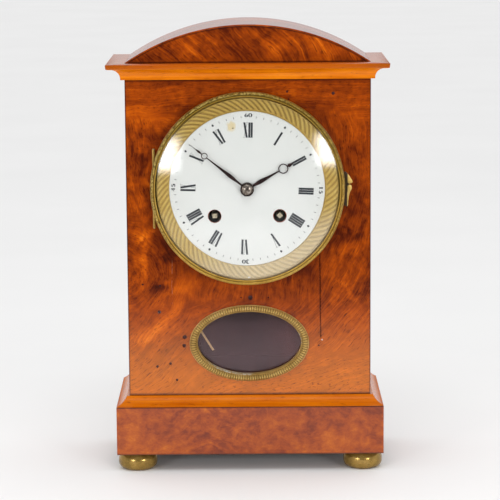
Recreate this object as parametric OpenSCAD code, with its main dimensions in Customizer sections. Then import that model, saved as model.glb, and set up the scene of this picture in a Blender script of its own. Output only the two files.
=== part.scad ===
// Table clock: veneered case with an arched pediment, hinged glazed bezel,
// oval pendulum window and a round two-train movement that strikes on a bell.
// Millimetres, +Z up, the dial looks along -Y, the feet stand on Z = 0.

/* [Case] */
// Width of the case body
body_w = 194.6; // [190:0.2:200]
// Depth of the case body, front face to back face
body_d = 100.2; // [98:0.2:108]
// Height of the body, from the plinth to the cornice
body_h = 262.9; // [258:0.1:270]
// Height of the plinth block
plinth_h = 39.3; // [34:0.1:44]
// Overhang of the plinth beyond the body, front and sides
plinth_over = 10.2; // [8:0.1:12]
// Height of the hollow moulding on the plinth
mould_h = 7.8; // [7:0.1:9]
// Height of the cornice and of the top board
cornice_h = 12.6; // [11:0.1:14]
// Overhang of the cornice beyond the body, front and sides
cornice_over = 14.4; // [13:0.1:16]
// Rise of the arched pediment
arch_rise = 29.9; // [24:0.1:34]
// Setback of the pediment behind the body face
arch_set = 7; // [4:0.5:12]
// Thickness of the front panel and the back frame
board_t = 12; // [12:0.5:13]
// Thickness of the side panels
side_t = 10; // [8:0.5:12]

/* [Feet] */
// Height of the bun feet
foot_h = 14; // [12:0.5:16]
// Largest diameter of the bun feet
foot_d = 31.5; // [28:0.5:34]

/* [Dial and bezel] */
// Height of the dial centre above the plinth top
dial_rise = 175.9; // [174:0.1:178]
// Sideways offset of the movement in the case
move_x = -1.1; // [-2:0.1:2]
// Radius of the enamel dial
dial_r = 61.9; // [61:0.1:62.2]
// Outer radius of the hinged bezel
rim_r = 77.2; // [76.5:0.1:78]
// Rise of the domed glass
glass_rise = 9.5; // [6:0.5:11]
// Width of the winding squares across the flats
key_af = 3.6; // [3.2:0.1:4]

/* [Window] */
// Half width of the oval window ring
win_a = 48; // [46:0.2:50]
// Half height of the oval window ring
win_b = 31.2; // [29:0.1:33]
// Height of the window centre above the plinth top
win_rise = 50.3; // [48:0.1:54]

/* [Pendulum] */
// Distance from the suspension to the middle of the bob
pend_l = 127; // [120:0.5:130]
// Radius of the bob
bob_r = 17; // [12:0.5:20]

/* [Hidden] */

mahogany = "saddlebrown";
fruitwood = "darkorange";
brass = "darkgoldenrod";
steel = "lightsteelblue";
blued = "#3a2f2c";

// levels of the case
z_plinth = foot_h + plinth_h;
z_top = z_plinth + body_h;
z_pedi = z_top + cornice_h;
hw = body_w / 2;
// the frontmost point is the glass, the rearmost is the door knob
rim_front = -11.9;
glass_y = -10.2;
knob_len = 9;
ys = -(body_d + knob_len + glass_y - glass_rise) / 2;
// pediment arc
arch_half = hw + 0.3;
arch_R = (arch_half * arch_half + arch_rise * arch_rise) / (2 * arch_rise);
roof_t = 1.2;

// movement centre and the centres of its arbors, in x and height
mz = z_plinth + dial_rise;
sur_x = move_x + 0.4;
sur_z = mz + 0.3;
rim_x = move_x + 0.4;
rim_z = mz + 0.7;
win_x = -0.2;
win_z = z_plinth + win_rise;
hole_r = 66;

function polar(p, r, a) = [p[0] + r * cos(a), p[1] + r * sin(a)];
function angle_to(a, b) = atan2(b[1] - a[1], b[0] - a[0]);
// the point at distance ra from a and rb from b, on side s
function third_point(a, b, ra, rb, s) =
    let (d = norm(b - a), k = (ra * ra - rb * rb + d * d) / (2 * d),
         h = sqrt(ra * ra - k * k), u = (b - a) / d)
    a + k * u + s * h * [-u[1], u[0]];

m_barrel = 0.48;   // barrel teeth to second pinions
m_second = 0.40;   // second wheels to the next pinions
m_centre = 0.36;   // centre wheel to third pinion, pin wheel to fly
m_third = 0.32;    // third wheel to escape pinion
O = [0, 0];
GB = [25.9, -21.8];
SB = [-25.9, -21.8];
P2 = third_point(O, GB, (80 + 10) / 2 * m_second, (84 + 14) / 2 * m_barrel, 1);
S2 = [-P2[0], P2[1]];
ESC = [0, 28.5];
P3 = third_point(O, ESC, (84 + 7) / 2 * m_centre, (84 + 7) / 2 * m_third, -1);
PAL = [0, 42];
PW = polar(S2, (72 + 8) / 2 * m_second, 105);
FLY = polar(PW, (64 + 7) / 2 * m_centre, 115);
HAM = [-39, 17];
MW = [0, -(24 + 72) / 2 * 0.3];
BELL = [14, 2];
PILLARS = [[0, -46], [-47.5, 5], [47.5, 5], [24, 41]];

// depths of the movement, measured from the front face of the body
fp0 = 11;     // front plate
fp1 = 13.2;
bp0 = 47.4;   // back plate
bp1 = 49.6;
pend_y = 60;  // plane of the pendulum

// ---------------------------------------------------------------- helpers
// shift from the body frame to the part frame
module placed() translate([0, ys, 0]) children();
// the same, with x and z measured from the movement centre
module moved() translate([move_x, ys, mz]) children();
// extrude a drawing (x, height) from depth y0 to y1
module slab(y0, y1) translate([0, y1, 0]) rotate([90, 0, 0])
    linear_extrude(height = y1 - y0) children();
// a round along the depth
module round_y(y0, y1, r, p = [0, 0], fn = 48) translate([p[0], y1, p[1]])
    rotate([90, 0, 0]) cylinder(h = y1 - y0, r = r, $fn = fn);
// turn a profile of [radius, depth] points about the depth axis
module turned_y(pts, fn = 120) rotate([-90, 0, 0])
    rotate_extrude($fn = fn) polygon(pts);
function ellipse_pts(a, b, n = 96) = [for (i = [0 : n - 1]) [a * cos(360 * i / n), b * sin(360 * i / n)]];

// tooth outline of a wheel or pinion, with straight flanks and play
function tooth_pts(n, m, ph, ha, hd, ft, fp, fr) =
    let (rp = n * m / 2)
    [for (i = [0 : n - 1], q = [[-hd, -fr], [0, -fp], [ha, -ft], [ha, ft], [0, fp], [-hd, fr]])
        let (a = 360 / n * (i + q[1]) + ph) [(rp + q[0] * m) * cos(a), (rp + q[0] * m) * sin(a)]];
module wheel_2d(n, m, ph) polygon(tooth_pts(n, m, ph, 0.80, 1.15, 0.08, 0.18, 0.25));
module pinion_2d(n, m, ph) polygon(tooth_pts(n, m, ph, 0.50, 1.20, 0.08, 0.15, 0.18));
// a crossed-out wheel: rim, hub and arms, one tooth on the line at angle a
module wheel(n, m, a, y0, y1, hub = 3, arms = 4, rim = 1.6) {
    ri = n * m / 2 - 1.15 * m - rim;
    slab(y0, y1) difference() {
        wheel_2d(n, m, a);
        difference() {
            circle(r = ri, $fn = 64);
            circle(r = hub, $fn = 32);
            for (i = [0 : arms - 1]) rotate(i * 360 / arms + 20)
                translate([0, -0.9]) square([ri + 1, 1.8]);
        }
    }
}
// a pinion with one gap on the line at angle a
module pinion(n, m, a, y0, y1) slab(y0, y1) pinion_2d(n, m, a + 180 / n);

// ------------------------------------------------------------------- case
// turned bun foot with its stud
module foot(x, y) translate([x, y, 0]) {
    rotate_extrude($fn = 72) polygon(concat([[0, 0]],
        [for (i = [0 : 24]) let (z = foot_h * i / 24, k = abs(z - 6.4) / (z < 6.4 ? 8 : 9.6))
            [foot_d / 2 * pow(1 - pow(k, 2.6), 1 / 2.6), z]],
        [[0, foot_h]]));
    translate([0, 0, foot_h - 0.5]) cylinder(h = 15.5, r = 3, $fn = 32);
}
foot_in = 16.2;
foot_x = hw + plinth_over - foot_in;
foot_y0 = -plinth_over + foot_in;
foot_y1 = body_d - foot_in;
module front_feet() color(brass) placed() { foot(-foot_x, foot_y0); foot(foot_x, foot_y0); }
module back_feet() color(brass) placed() { foot(-foot_x, foot_y1); foot(foot_x, foot_y1); }

wall = 22;
module plinth() color(mahogany) placed() difference() {
    translate([-hw - plinth_over, -plinth_over, foot_h])
        cube([body_w + 2 * plinth_over, body_d + plinth_over, plinth_h]);
    translate([-hw - plinth_over + wall, -plinth_over + wall, foot_h - 1])
        cube([body_w + 2 * plinth_over - 2 * wall, body_d + plinth_over - 2 * wall, plinth_h + 2]);
    for (x = [-foot_x, foot_x], y = [foot_y0, foot_y1])
        translate([x, y, foot_h - 1]) cylinder(h = 16.5, r = 3.05, $fn = 32);
}
module bottom_board() color(mahogany) placed()
    translate([-hw - plinth_over + wall, -plinth_over + wall, z_plinth - 8])
        cube([body_w + 2 * plinth_over - 2 * wall, body_d + plinth_over - 2 * wall, 8]);

// overhang profile of the plinth cove
module cove_2d() difference() {
    square([plinth_over, mould_h]);
    translate([plinth_over + 6.06, mould_h + 7.18]) circle(r = 16, $fn = 144);
}
module plinth_moulding() color(fruitwood) placed() mitre_set(z_plinth, plinth_over) cove_2d();

// overhang profile of the cornice: narrow soffit, hollow, fillet
module cornice_2d() difference() {
    polygon([[0, 0], [3.2, 0], [3.2, 0.8], [11, 8.6], [13.2, 8.9], [13.9, 9.2],
             [cornice_over, cornice_h], [0, cornice_h]]);
    translate([11, 0.8]) circle(r = 7.8, $fn = 96);
}
module cornice() color(fruitwood) placed() mitre_set(z_top, cornice_over) cornice_2d();

// three strips cut at 45 degrees where they meet at the front corners
module mitre_set(z0, over) {
    L = body_w + 2 * over;
    // front strip
    intersection() {
        translate([-L / 2, 0, z0]) rotate([90, 0, 90]) linear_extrude(height = L)
            mirror([1, 0]) children();
        translate([0, 0, z0 - 1]) linear_extrude(height = 40)
            polygon([[-hw, 0], [hw, 0], [hw + over + 5, -over - 5], [-hw - over - 5, -over - 5]]);
    }
    // side strips
    for (s = [-1, 1]) intersection() {
        translate([s * hw, -over - 1, z0]) mirror([s < 0 ? 1 : 0, 0, 0])
            rotate([90, 0, 0]) mirror([0, 0, 1]) linear_extrude(height = body_d + over + 1) children();
        translate([0, 0, z0 - 1]) linear_extrude(height = 40)
            polygon([[s * hw, 0], [s * hw, body_d], [s * (hw + over + 5), body_d],
                     [s * (hw + over + 5), -over - 5]]);
    }
}

module front_panel() color(mahogany) placed() difference() {
    translate([-hw, 0, z_plinth]) cube([body_w, board_t, body_h]);
    round_y(-1, board_t + 1, hole_r, [sur_x, sur_z], 120);
    translate([win_x, 0, win_z]) slab(-1, board_t + 1) polygon(ellipse_pts(win_a - 4.7, win_b - 4.3));
}
module side_panel(s) placed() translate([s > 0 ? hw - side_t : -hw, board_t, z_plinth])
    cube([side_t, body_d - 2 * board_t, body_h]);
module side_panel_left() color(mahogany) side_panel(-1);
module side_panel_right() color(mahogany) side_panel(1);

door_x = 75;
door_z0 = z_plinth + 16.7;
door_z1 = z_top - 16.2;
door_t = 8.2;
module back_frame() color(mahogany) placed() difference() {
    translate([-hw, body_d - board_t, z_plinth]) cube([body_w, board_t, body_h]);
    translate([-door_x, body_d - door_t - 0.5, door_z0]) cube([2 * door_x, 20, door_z1 - door_z0]);
    translate([-door_x + 4, body_d - 20, door_z0 + 4]) cube([2 * door_x - 8, 30, door_z1 - door_z0 - 8]);
}
module top_board() color(mahogany) placed()
    translate([-hw, 0, z_top]) cube([body_w, body_d, cornice_h]);

module arch_2d(r) intersection() {
    translate([0, z_pedi + arch_rise - arch_R]) circle(r = r, $fn = 720);
    translate([-hw - 5, z_pedi]) square([body_w + 10, arch_rise + 5]);
}
module tympanum() color(mahogany) placed() slab(arch_set, arch_set + board_t) arch_2d(arch_R - roof_t);
module pediment_back() color(mahogany) placed() slab(body_d - board_t, body_d) arch_2d(arch_R - roof_t);
module pediment_roof() color(mahogany) placed() slab(arch_set, body_d) difference() {
    arch_2d(arch_R);
    translate([0, z_pedi + arch_rise - arch_R]) circle(r = arch_R - roof_t, $fn = 720);
}

// -------------------------------------------------------------- rear door
dh_x = -door_x - 0.4;
dh_y = body_d + 1.7;
dh_z = [door_z0 + 32, door_z1 - 32];
module rear_door() color(mahogany) placed() difference() {
    translate([-door_x + 0.8, body_d - door_t, door_z0 + 0.8])
        cube([2 * door_x - 1.6, door_t, door_z1 - door_z0 - 1.6]);
    round_y(body_d - door_t - 1, body_d + 1, 2.05, [door_x - 9, (door_z0 + door_z1) / 2], 32);
}
// leaf on the frame with two knuckles, and its pin
module case_leaf(z) {
    difference() {
        union() {
            translate([dh_x - 10, body_d, z - 15]) cube([8.2, 1.1, 30]);
            for (k = [-15, 5.2]) translate([0, 0, z + k]) {
                translate([dh_x, dh_y, 0]) cylinder(h = 9.8, r = 1.7, $fn = 32);
                translate([dh_x - 2, body_d, 0]) cube([2, 1.1, 9.8]);
            }
        }
        translate([dh_x, dh_y, z - 20]) cylinder(h = 40, r = 0.8, $fn = 24);
        for (k = [-10, 10]) round_y(body_d - 1, body_d + 3, 1, [dh_x - 7, z + k], 24);
    }
    translate([dh_x, dh_y, z - 15.4]) cylinder(h = 30.8, r = 0.8, $fn = 24);
}
module door_case_hinges() color(brass) placed() for (z = dh_z) case_leaf(z);
module door_hinge_leaves() color(brass) placed() for (z = dh_z) difference() {
    union() {
        translate([dh_x + 1.8, body_d, z - 15]) cube([8.6, 1.1, 30]);
        translate([dh_x, dh_y, z - 4.8]) cylinder(h = 9.6, r = 1.7, $fn = 32);
        translate([dh_x, body_d + 0.1, z - 4.8]) cube([3, 1, 9.6]);
    }
    translate([dh_x, dh_y, z - 20]) cylinder(h = 40, r = 0.85, $fn = 24);
    for (k = [-10, 10]) round_y(body_d - 1, body_d + 3, 1, [dh_x + 7.6, z + k], 24);
}
module door_knob() color(brass) placed() translate([door_x - 9, 0, (door_z0 + door_z1) / 2]) {
    round_y(body_d - door_t, body_d, 2, [0, 0], 32);
    turned_y([[0, body_d], [4, body_d], [4, body_d + 1], [2.2, body_d + 2.4], [2.2, body_d + 4],
        [4.4, body_d + 5.2], [5, body_d + 6.8], [4.2, body_d + 8.4], [2, body_d + knob_len],
        [0, body_d + knob_len]], 48);
}

// ---------------------------------------------------------- bezel and dial
bh_x = rim_x - 74.3;
bh_y = -5;
kn = 12.3;
pitch_k = 12.7;
function kz(i) = rim_z + (i - 2) * pitch_k - kn / 2;
// fixed surround: seat flange, engine-turned cone, spigot, bosses, hinge leaf
module dial_surround() color(brass) placed() {
    difference() {
        union() {
            translate([sur_x, 0, sur_z]) turned_y([[60, 0], [60, -1.2], [62.6, -1.2], [62.6, -2.2],
                [70, -7], [70.3, -7.2], [72.2, -7.2], [72.2, -1.2], [75.6, -1.2], [75.6, 0], [65.5, 0], [65.5, 8], [64, 8], [64, 0]]);
            for (a = [45 : 90 : 315]) round_y(-0.6, fp0, 2.6, [move_x + 61 * cos(a), mz + 61 * sin(a)], 32);
            translate([bh_x - 1.1, -1.2, kz(0)]) cube([12, 1.2, 5 * pitch_k - 0.4]);
            for (i = [0, 2, 4]) {
                translate([bh_x - 0.6, bh_y, kz(i)]) cube([1.2, -bh_y - 0.1, kn]);
                translate([bh_x, bh_y, kz(i)]) cylinder(h = kn, r = 1.1, $fn = 32);
            }
        }
        translate([bh_x, bh_y, kz(0) - 1]) cylinder(h = 70, r = 0.5, $fn = 24);
        for (a = [45 : 90 : 315]) round_y(1, fp0 + 1, 1.55, [move_x + 61 * cos(a), mz + 61 * sin(a)], 24);
    }
}
module bezel_hinge_pin() color(steel) placed()
    translate([bh_x, bh_y, kz(0) - 0.4]) cylinder(h = 5 * pitch_k + 0.4, r = 0.5, $fn = 24);
module bezel_rim() color(brass) placed() {
    difference() {
        union() {
            difference() {
                translate([rim_x, 0, rim_z]) turned_y([[74.3, -2.4], [75.7, -2.4], [75.9, -6.2], [76.8, -7.2],
                    [rim_r, -9.1], [76.8, -10.9], [75.7, rim_front], [74.7, -11.2], [74.35, -10.9], [74.1, -11.4],
                    [73.75, -11.7], [73.4, -11.5], [73.2, -11], [73.2, glass_y - 0.2], [74.3, glass_y - 0.2]]);
                translate([bh_x - 6, -6.6, kz(0) - 0.6]) cube([9, 10, 5 * pitch_k + 0.8]);
            }
            for (i = [1, 3]) {
                translate([bh_x - 0.6, -7.4, kz(i)]) cube([1.2, 2.4, kn]);
                translate([bh_x, bh_y, kz(i)]) cylinder(h = kn, r = 1.1, $fn = 32);
            }
        }
        for (i = [1, 3]) translate([bh_x, bh_y, kz(i) - 1]) cylinder(h = kn + 2, r = 0.55, $fn = 24);
    }
}
// flat tab with a notched tail, under the right edge of the rim
module bezel_thumb_tab() color(brass) placed() translate([rim_x, 0, rim_z]) slab(-2.4, -1.6)
    polygon(concat([for (a = [-12 : 2 : 8]) 73.6 * [cos(a), sin(a)]],
        [[77.8, 12.6], [79.6, 10.4], [81.4, 8], [83.4, 4.9], [83.2, 3.5], [80.1, 2.4], [82.4, 1.4], [82.9, -0.6],
         [81.9, -3], [81.1, -4.6], [80.4, -8], [79.8, -14.2], [79.4, -15.4], [78.4, -15.6], [76.6, -14.4]]));
// domed glass seated in the rim from behind
gr = 74;
gR = (gr * gr + glass_rise * glass_rise) / (2 * glass_rise);
gt = 1.5;
module dial_glass() color("lightcyan", 0.4) placed() translate([rim_x, 0, rim_z])
    turned_y(concat(
        [for (i = [0 : 16]) let (r = gr * i / 16) [r, glass_y - glass_rise + gR - sqrt(gR * gR - r * r)]],
        [[gr, glass_y + gt]],
        [for (i = [15 : -1 : 0]) let (r = gr * i / 16)
            [r, glass_y - glass_rise + gt + gR - sqrt(gR * gR - r * r)]]));

module enamel_dial() color("white") moved() difference() {
    turned_y([[0, -1.2], [dial_r, -1.2], [dial_r, -2.6], [dial_r - 0.4, -2.9], [45, -3.3], [24, -3.6], [0, -3.8]]);
    round_y(-9, 5, 4.6);
    for (p = [GB, SB]) round_y(-9, 5, 5.4, p);
}

// hands are drawn pointing up, then turned to the time shown
module hand_up(a, y0, y1) slab(y0, y1) rotate(a) children();
module hour_hand() color(blued) moved() {
    hand_up(-60.8, -5.6, -4.7) difference() {
        union() {
            circle(r = 5.4, $fn = 48);
            polygon([[-1.3, 4.6], [1.3, 4.6], [1.7, 11], [0.6, 29.5], [0.6, 36], [1.5, 38.4], [0, 43.2],
                     [-1.5, 38.4], [-0.6, 36], [-0.6, 29.5], [-1.7, 11]]);
            translate([0, 33]) circle(r = 4, $fn = 40);
        }
        circle(r = 3.85, $fn = 48);
        translate([0, 33]) circle(r = 2.7, $fn = 40);
    }
}
module minute_hand() color(blued) moved() {
    hand_up(51.4, -7.4, -6.6) difference() {
        union() {
            circle(r = 4.6, $fn = 48);
            polygon([[-0.9, 4], [0.9, 4], [0.7, 9], [1.5, 17], [0.5, 40.6], [0.4, 45], [1, 48.4], [0.3, 52], [0, 58.2],
                     [-0.3, 52], [-1, 48.4], [-0.4, 45], [-0.5, 40.6], [-1.5, 17], [-0.7, 9]]);
            translate([0, 43]) circle(r = 2.6, $fn = 40);
        }
        circle(r = 2.65, $fn = 48);
        translate([0, 43]) circle(r = 1.7, $fn = 40);
    }
}
module hand_collet() color(steel) moved()
    turned_y([[0, -7.4], [5.5, -7.4], [5.5, -8.2], [5, -8.7], [4, -8.8], [3.4, -9.3], [2, -9.8], [0, -10]], 48);

// ------------------------------------------------------------ oval window
module window_ring() color(brass) placed() translate([win_x, 0, win_z]) difference() {
    union() {
        slab(-2.6, 0) polygon(ellipse_pts(win_a, win_b));
        slab(-4.2, -2.5) polygon(ellipse_pts(win_a - 1.6, win_b - 1.6));
        slab(-0.5, 5) polygon(ellipse_pts(win_a - 5, win_b - 4.6));
    }
    slab(-6, 6) polygon(ellipse_pts(win_a - 6.4, win_b - 5.6));
}
module window_glass() color("lightcyan", 0.4) placed() translate([win_x, 0, win_z])
    slab(5, 7) polygon(ellipse_pts(win_a - 5, win_b - 4.6));
// thin strip on the inside of the front, beside the window
module pendulum_holdfast() color(brass) placed() {
    slab(board_t + 4.6, board_t + 5.4) polygon([[-44.9, 117.6], [-43.5, 118.4], [-28.7, 94.7], [-30.1, 93.9]]);
    round_y(board_t, board_t + 5, 1.3, [-46.4, 122.3], 24);
    slab(board_t + 4.6, board_t + 5.4) polygon([[-48, 124], [-45.4, 124.6], [-43.5, 118.4], [-44.9, 117.6]]);
}

// --------------------------------------------------------------- movement
plate_r = 54;
module front_plate() color(brass) moved() {
    difference() {
        union() {
            round_y(fp0, fp1, plate_r, O, 120);
            for (a = [45 : 90 : 315]) {
                slab(fp0, fp1) rotate(a) translate([48, -4]) square([13, 8]);
                round_y(fp0, fp1, 4.3, polar(O, 61, a), 32);
            }
            round_y(5.2, fp0 + 0.3, 1.2, MW, 24);
            round_y(9.6, fp0 + 0.6, 2.4, MW, 24);
        }
        for (a = [45 : 90 : 315]) round_y(fp0 - 1, fp1 + 1, 1.6, polar(O, 61, a), 24);
        for (p = [GB, SB]) round_y(fp0 - 1, fp1 + 1, 2.95, p, 40);
        round_y(fp0 - 1, fp1 + 1, 1.55, O, 32);
        for (p = [P2, P3, S2, PW, HAM]) round_y(fp0 - 1, fp1 + 1, 0.75, p, 24);
        for (p = [ESC, PAL, FLY]) round_y(fp0 - 1, fp1 + 1, 0.55, p, 24);
        for (p = PILLARS) round_y(fp0 - 1, fp1 + 1, 1.6, p, 24);
    }
}
module back_plate() color(brass) moved() difference() {
    round_y(bp0, bp1, plate_r, O, 120);
    for (p = [GB, SB]) round_y(bp0 - 1, bp1 + 1, 2.95, p, 40);
    for (p = [O, P2, P3, PW]) round_y(bp0 - 1, bp1 + 1, 0.75, p, 24);
    for (p = [ESC, FLY]) round_y(bp0 - 1, bp1 + 1, 0.55, p, 24);
    round_y(bp0 - 1, bp1 + 1, 3.4, PAL, 40);
    round_y(bp0 - 1, bp1 + 1, 1.25, S2, 32);
    round_y(bp0 - 1, bp1 + 1, 1.05, HAM, 32);
    for (p = PILLARS) round_y(bp0 - 1, bp1 + 1, 1.6, p, 24);
}
module plate_pillars() color(brass) moved() for (p = PILLARS) translate([p[0], 0, p[1]]) {
    turned_y([[0, fp1], [3, fp1], [3, fp1 + 2], [2.3, fp1 + 4], [3.2, 30.3], [2.3, bp0 - 4], [3, bp0 - 2],
        [3, bp0], [0, bp0]], 40);
    round_y(fp0 - 0.8, fp1 + 0.5, 1.6);
    round_y(bp0 - 0.5, bp1 + 0.8, 1.6);
}
module movement_screws() color(steel) moved() for (a = [45 : 90 : 315])
    translate([61 * cos(a), 0, 61 * sin(a)]) difference() {
        union() {
            round_y(3, fp1 + 0.5, 1.5, O, 24);
            round_y(fp1, fp1 + 1.8, 2.8, O, 32);
        }
        translate([-4, fp1 + 1, -0.4]) cube([8, 2, 0.8]);
    }

// drum with its toothed rim, open inside for the spring
module barrel(p, mate) translate([p[0], 0, p[1]]) difference() {
    union() {
        slab(17, 19) wheel_2d(84, m_barrel, angle_to(p, mate));
        round_y(17, 41, 17, O, 96);
    }
    round_y(18.4, 39.6, 15.8, O, 96);
    round_y(16, 42, 2.95, O, 40);
}
// coiled strip of the mainspring, six turns lying against the drum
module mainspring(p) {
    turns = 6;
    n = 20;
    function coil(i) = 15.4 - 1.1 * i / n;
    translate([p[0], 0, p[1]]) slab(19, 39)
        polygon(concat([for (i = [0 : turns * n]) let (a = 360 * i / n) coil(i) * [cos(a), sin(a)]],
                       [for (i = [turns * n : -1 : 0]) let (a = 360 * i / n) (coil(i) - 0.45) * [cos(a), sin(a)]]));
}
// winding arbor: square for the key, ratchet wheel, pivots in both plates
module winding_arbor(p, turn) translate([p[0], 0, p[1]]) {
    round_y(8.6, 50.2, 2.9, O, 40);
    slab(-1.6, 9) rotate(turn) square([key_af, key_af], center = true);
    slab(14.2, 15.8) polygon([for (i = [0 : 23], q = [[8.6, 0], [7.4, 0.9]])
        q[0] * [cos(15 * (i + q[1])), sin(15 * (i + q[1]))]]);
}
module going_barrel() color(brass) moved() barrel(GB, P2);
module strike_barrel() color(brass) moved() barrel(SB, S2);
module going_mainspring() color(steel) moved() mainspring(GB);
module strike_mainspring() color(steel) moved() mainspring(SB);
module going_winding_arbor() color(steel) moved() winding_arbor(GB, 42);
module strike_winding_arbor() color(steel) moved() winding_arbor(SB, 3);

// arbor with a pivot at each end
module arbor(p, y0, y1, r, rp, f0 = fp0 + 0.3, f1 = bp1 - 0.3) {
    round_y(y0, y1, r, p, 24);
    round_y(f0, y0 + 0.5, rp, p, 24);
    round_y(y1 - 0.5, f1, rp, p, 24);
}
module second_wheel() color(brass) moved() {
    arbor(P2, fp1 + 0.4, bp0 - 0.4, 1.3, 0.7);
    translate([P2[0], 0, P2[1]]) {
        pinion(14, m_barrel, angle_to(P2, GB), 16.4, 19.6);
        wheel(80, m_second, angle_to(P2, O), 42.6, 43.9);
    }
}
module centre_wheel() color(brass) moved() {
    round_y(-6.6, 26, 1.5, O, 32);
    round_y(25.5, bp0 - 0.4, 1.4, O, 32);
    round_y(bp0 - 1, bp1 - 0.3, 0.7, O, 24);
    pinion(10, m_second, angle_to(O, P2), 42, 44.6);
    wheel(84, m_centre, angle_to(O, P3), 24, 25.3);
}
module third_wheel() color(brass) moved() {
    arbor(P3, fp1 + 0.4, bp0 - 0.4, 0.85, 0.7);
    translate([P3[0], 0, P3[1]]) {
        pinion(7, m_centre, angle_to(P3, O), 22.8, 26.5);
        wheel(84, m_third, angle_to(P3, ESC), 31, 32.2, 2.6);
    }
}
module escape_wheel() color(brass) moved() {
    arbor(ESC, fp1 + 0.4, bp0 - 0.4, 0.75, 0.5);
    translate([ESC[0], 0, ESC[1]]) {
        pinion(7, m_third, angle_to(ESC, P3), 30, 33.2);
        slab(37.5, 38.7) difference() {
            polygon([for (i = [0 : 34], q = [[8.2, 0], [9.5, 0.12], [8.2, 0.62]])
                q[0] * [cos(360 / 35 * (i + q[1])), sin(360 / 35 * (i + q[1]))]]);
            difference() {
                circle(r = 7.1, $fn = 64);
                circle(r = 2.4, $fn = 32);
                for (i = [0 : 3]) rotate(90 * i) translate([0, -0.7]) square([8, 1.4]);
            }
        }
    }
}
// anchor, its arbor and the crutch that steers the pendulum
module pallets() color(steel) moved() {
    arbor(PAL, fp1 + 0.4, 52.4, 0.8, 0.5, fp0 + 0.3, 54.6);
    translate([0, 0, PAL[1]]) {
        slab(37.1, 39.1) difference() {
            polygon([[-2.4, 1.6], [2.4, 1.6], [10.6, -5.4], [11.4, -8.8], [9.8, -9.2], [8.8, -6.6],
                     [2, -2.2], [-2, -2.2], [-8.8, -6.6], [-9.8, -9.2], [-11.4, -8.8], [-10.6, -5.4]]);
            circle(r = 0.8, $fn = 24);
        }
        slab(50.8, 52) difference() {
            union() {
                circle(r = 2.4, $fn = 32);
                translate([-0.8, -24]) square([1.6, 23]);
                translate([-3, -25.5]) square([6, 2]);
            }
            circle(r = 0.8, $fn = 24);
        }
        for (s = [-1, 1]) translate([s * 2.3 - 0.5, 51, -25.5]) cube([1, 10.5, 2]);
    }
}

// motion work between the dial and the front plate
module cannon_pinion() color(brass) moved() difference() {
    union() {
        pinion(24, 0.3, angle_to(O, MW), 7.3, 9.1);
        round_y(-7.4, 7.4, 2.6, O, 40);
    }
    round_y(-8, 12, 1.5, O, 32);
}
module minute_wheel() color(brass) moved() translate([MW[0], 0, MW[1]]) difference() {
    union() {
        wheel(72, 0.3, angle_to(MW, O), 7.6, 8.8, 3.4);
        pinion(12, 0.48, angle_to(MW, O), 3.2, 7.7);
    }
    round_y(3, 9, 1.25, O, 32);
}
module hour_wheel() color(brass) moved() difference() {
    union() {
        wheel(48, 0.48, angle_to(O, MW), 3.5, 4.7, 5);
        round_y(-5.6, 5.6, 3.8, O, 48);
    }
    round_y(-7, 7, 2.66, O, 48);
}

// bracket behind the back plate: rear pivot of the pallets, chops of the spring
module suspension_cock() color(brass) moved() difference() {
    union() {
        for (s = [-1, 1]) slab(bp1, 54) translate([s * 11, 45.5]) square([5, 11], center = true);
        slab(53, 55) translate([-13.5, 40]) square([27, 11]);
        slab(54.5, 63.5) translate([-4, 42.6]) square([8, 8.4]);
    }
    round_y(52, 56, 0.55, PAL, 24);
    slab(54, 65) translate([-0.5, 40]) square([1, 9.2]);
    for (s = [-1, 1]) round_y(bp1 - 1, 56, 1.2, [s * 11, 48.5], 24);
}
pend_z = PAL[1];
module suspension_spring() color(steel) moved()
    translate([-0.1, pend_y - 2.5, pend_z - 6]) cube([0.2, 5, 7.8]);
module pendulum_rod() color(brass) moved() difference() {
    union() {
        translate([0, pend_y, pend_z - pend_l - 23]) cylinder(h = pend_l + 23 - 6.5, r = 1.3, $fn = 32);
        translate([-1.6, pend_y - 2.5, pend_z - 9]) cube([3.2, 5, 5]);
    }
    translate([-0.1, pend_y - 2.5, pend_z - 6]) cube([0.2, 5, 8]);
}
module pendulum_bob() color(brass) moved() translate([0, pend_y, pend_z - pend_l]) difference() {
    turned_y([[0, -4], [4, -3.9], [8, -3.4], [12, -2.5], [15, -1.5], [bob_r, -0.5], [bob_r, 0.5], [15, 1.5],
        [12, 2.5], [8, 3.4], [4, 3.9], [0, 4]], 96);
    translate([0, 0, -30]) cylinder(h = 60, r = 1.35, $fn = 32);
}
module rating_nut() color(brass) moved() translate([0, pend_y, pend_z - pend_l - bob_r - 3.4]) difference() {
    cylinder(h = 3, r = 4.2, $fn = 20);
    translate([0, 0, -1]) cylinder(h = 5, r = 1.36, $fn = 32);
}

// ----------------------------------------------------------- strike train
module strike_second_wheel() color(brass) moved() {
    arbor(S2, fp1 + 0.4, bp0 - 0.3, 1.3, 0.7, fp0 + 0.3, bp0);
    round_y(bp0 - 0.5, 52.8, 1.2, S2, 32);
    translate([S2[0], 0, S2[1]]) {
        pinion(14, m_barrel, angle_to(S2, SB), 16.4, 19.6);
        wheel(72, m_second, angle_to(S2, PW), 44.9, 46.1);
    }
}
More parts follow.
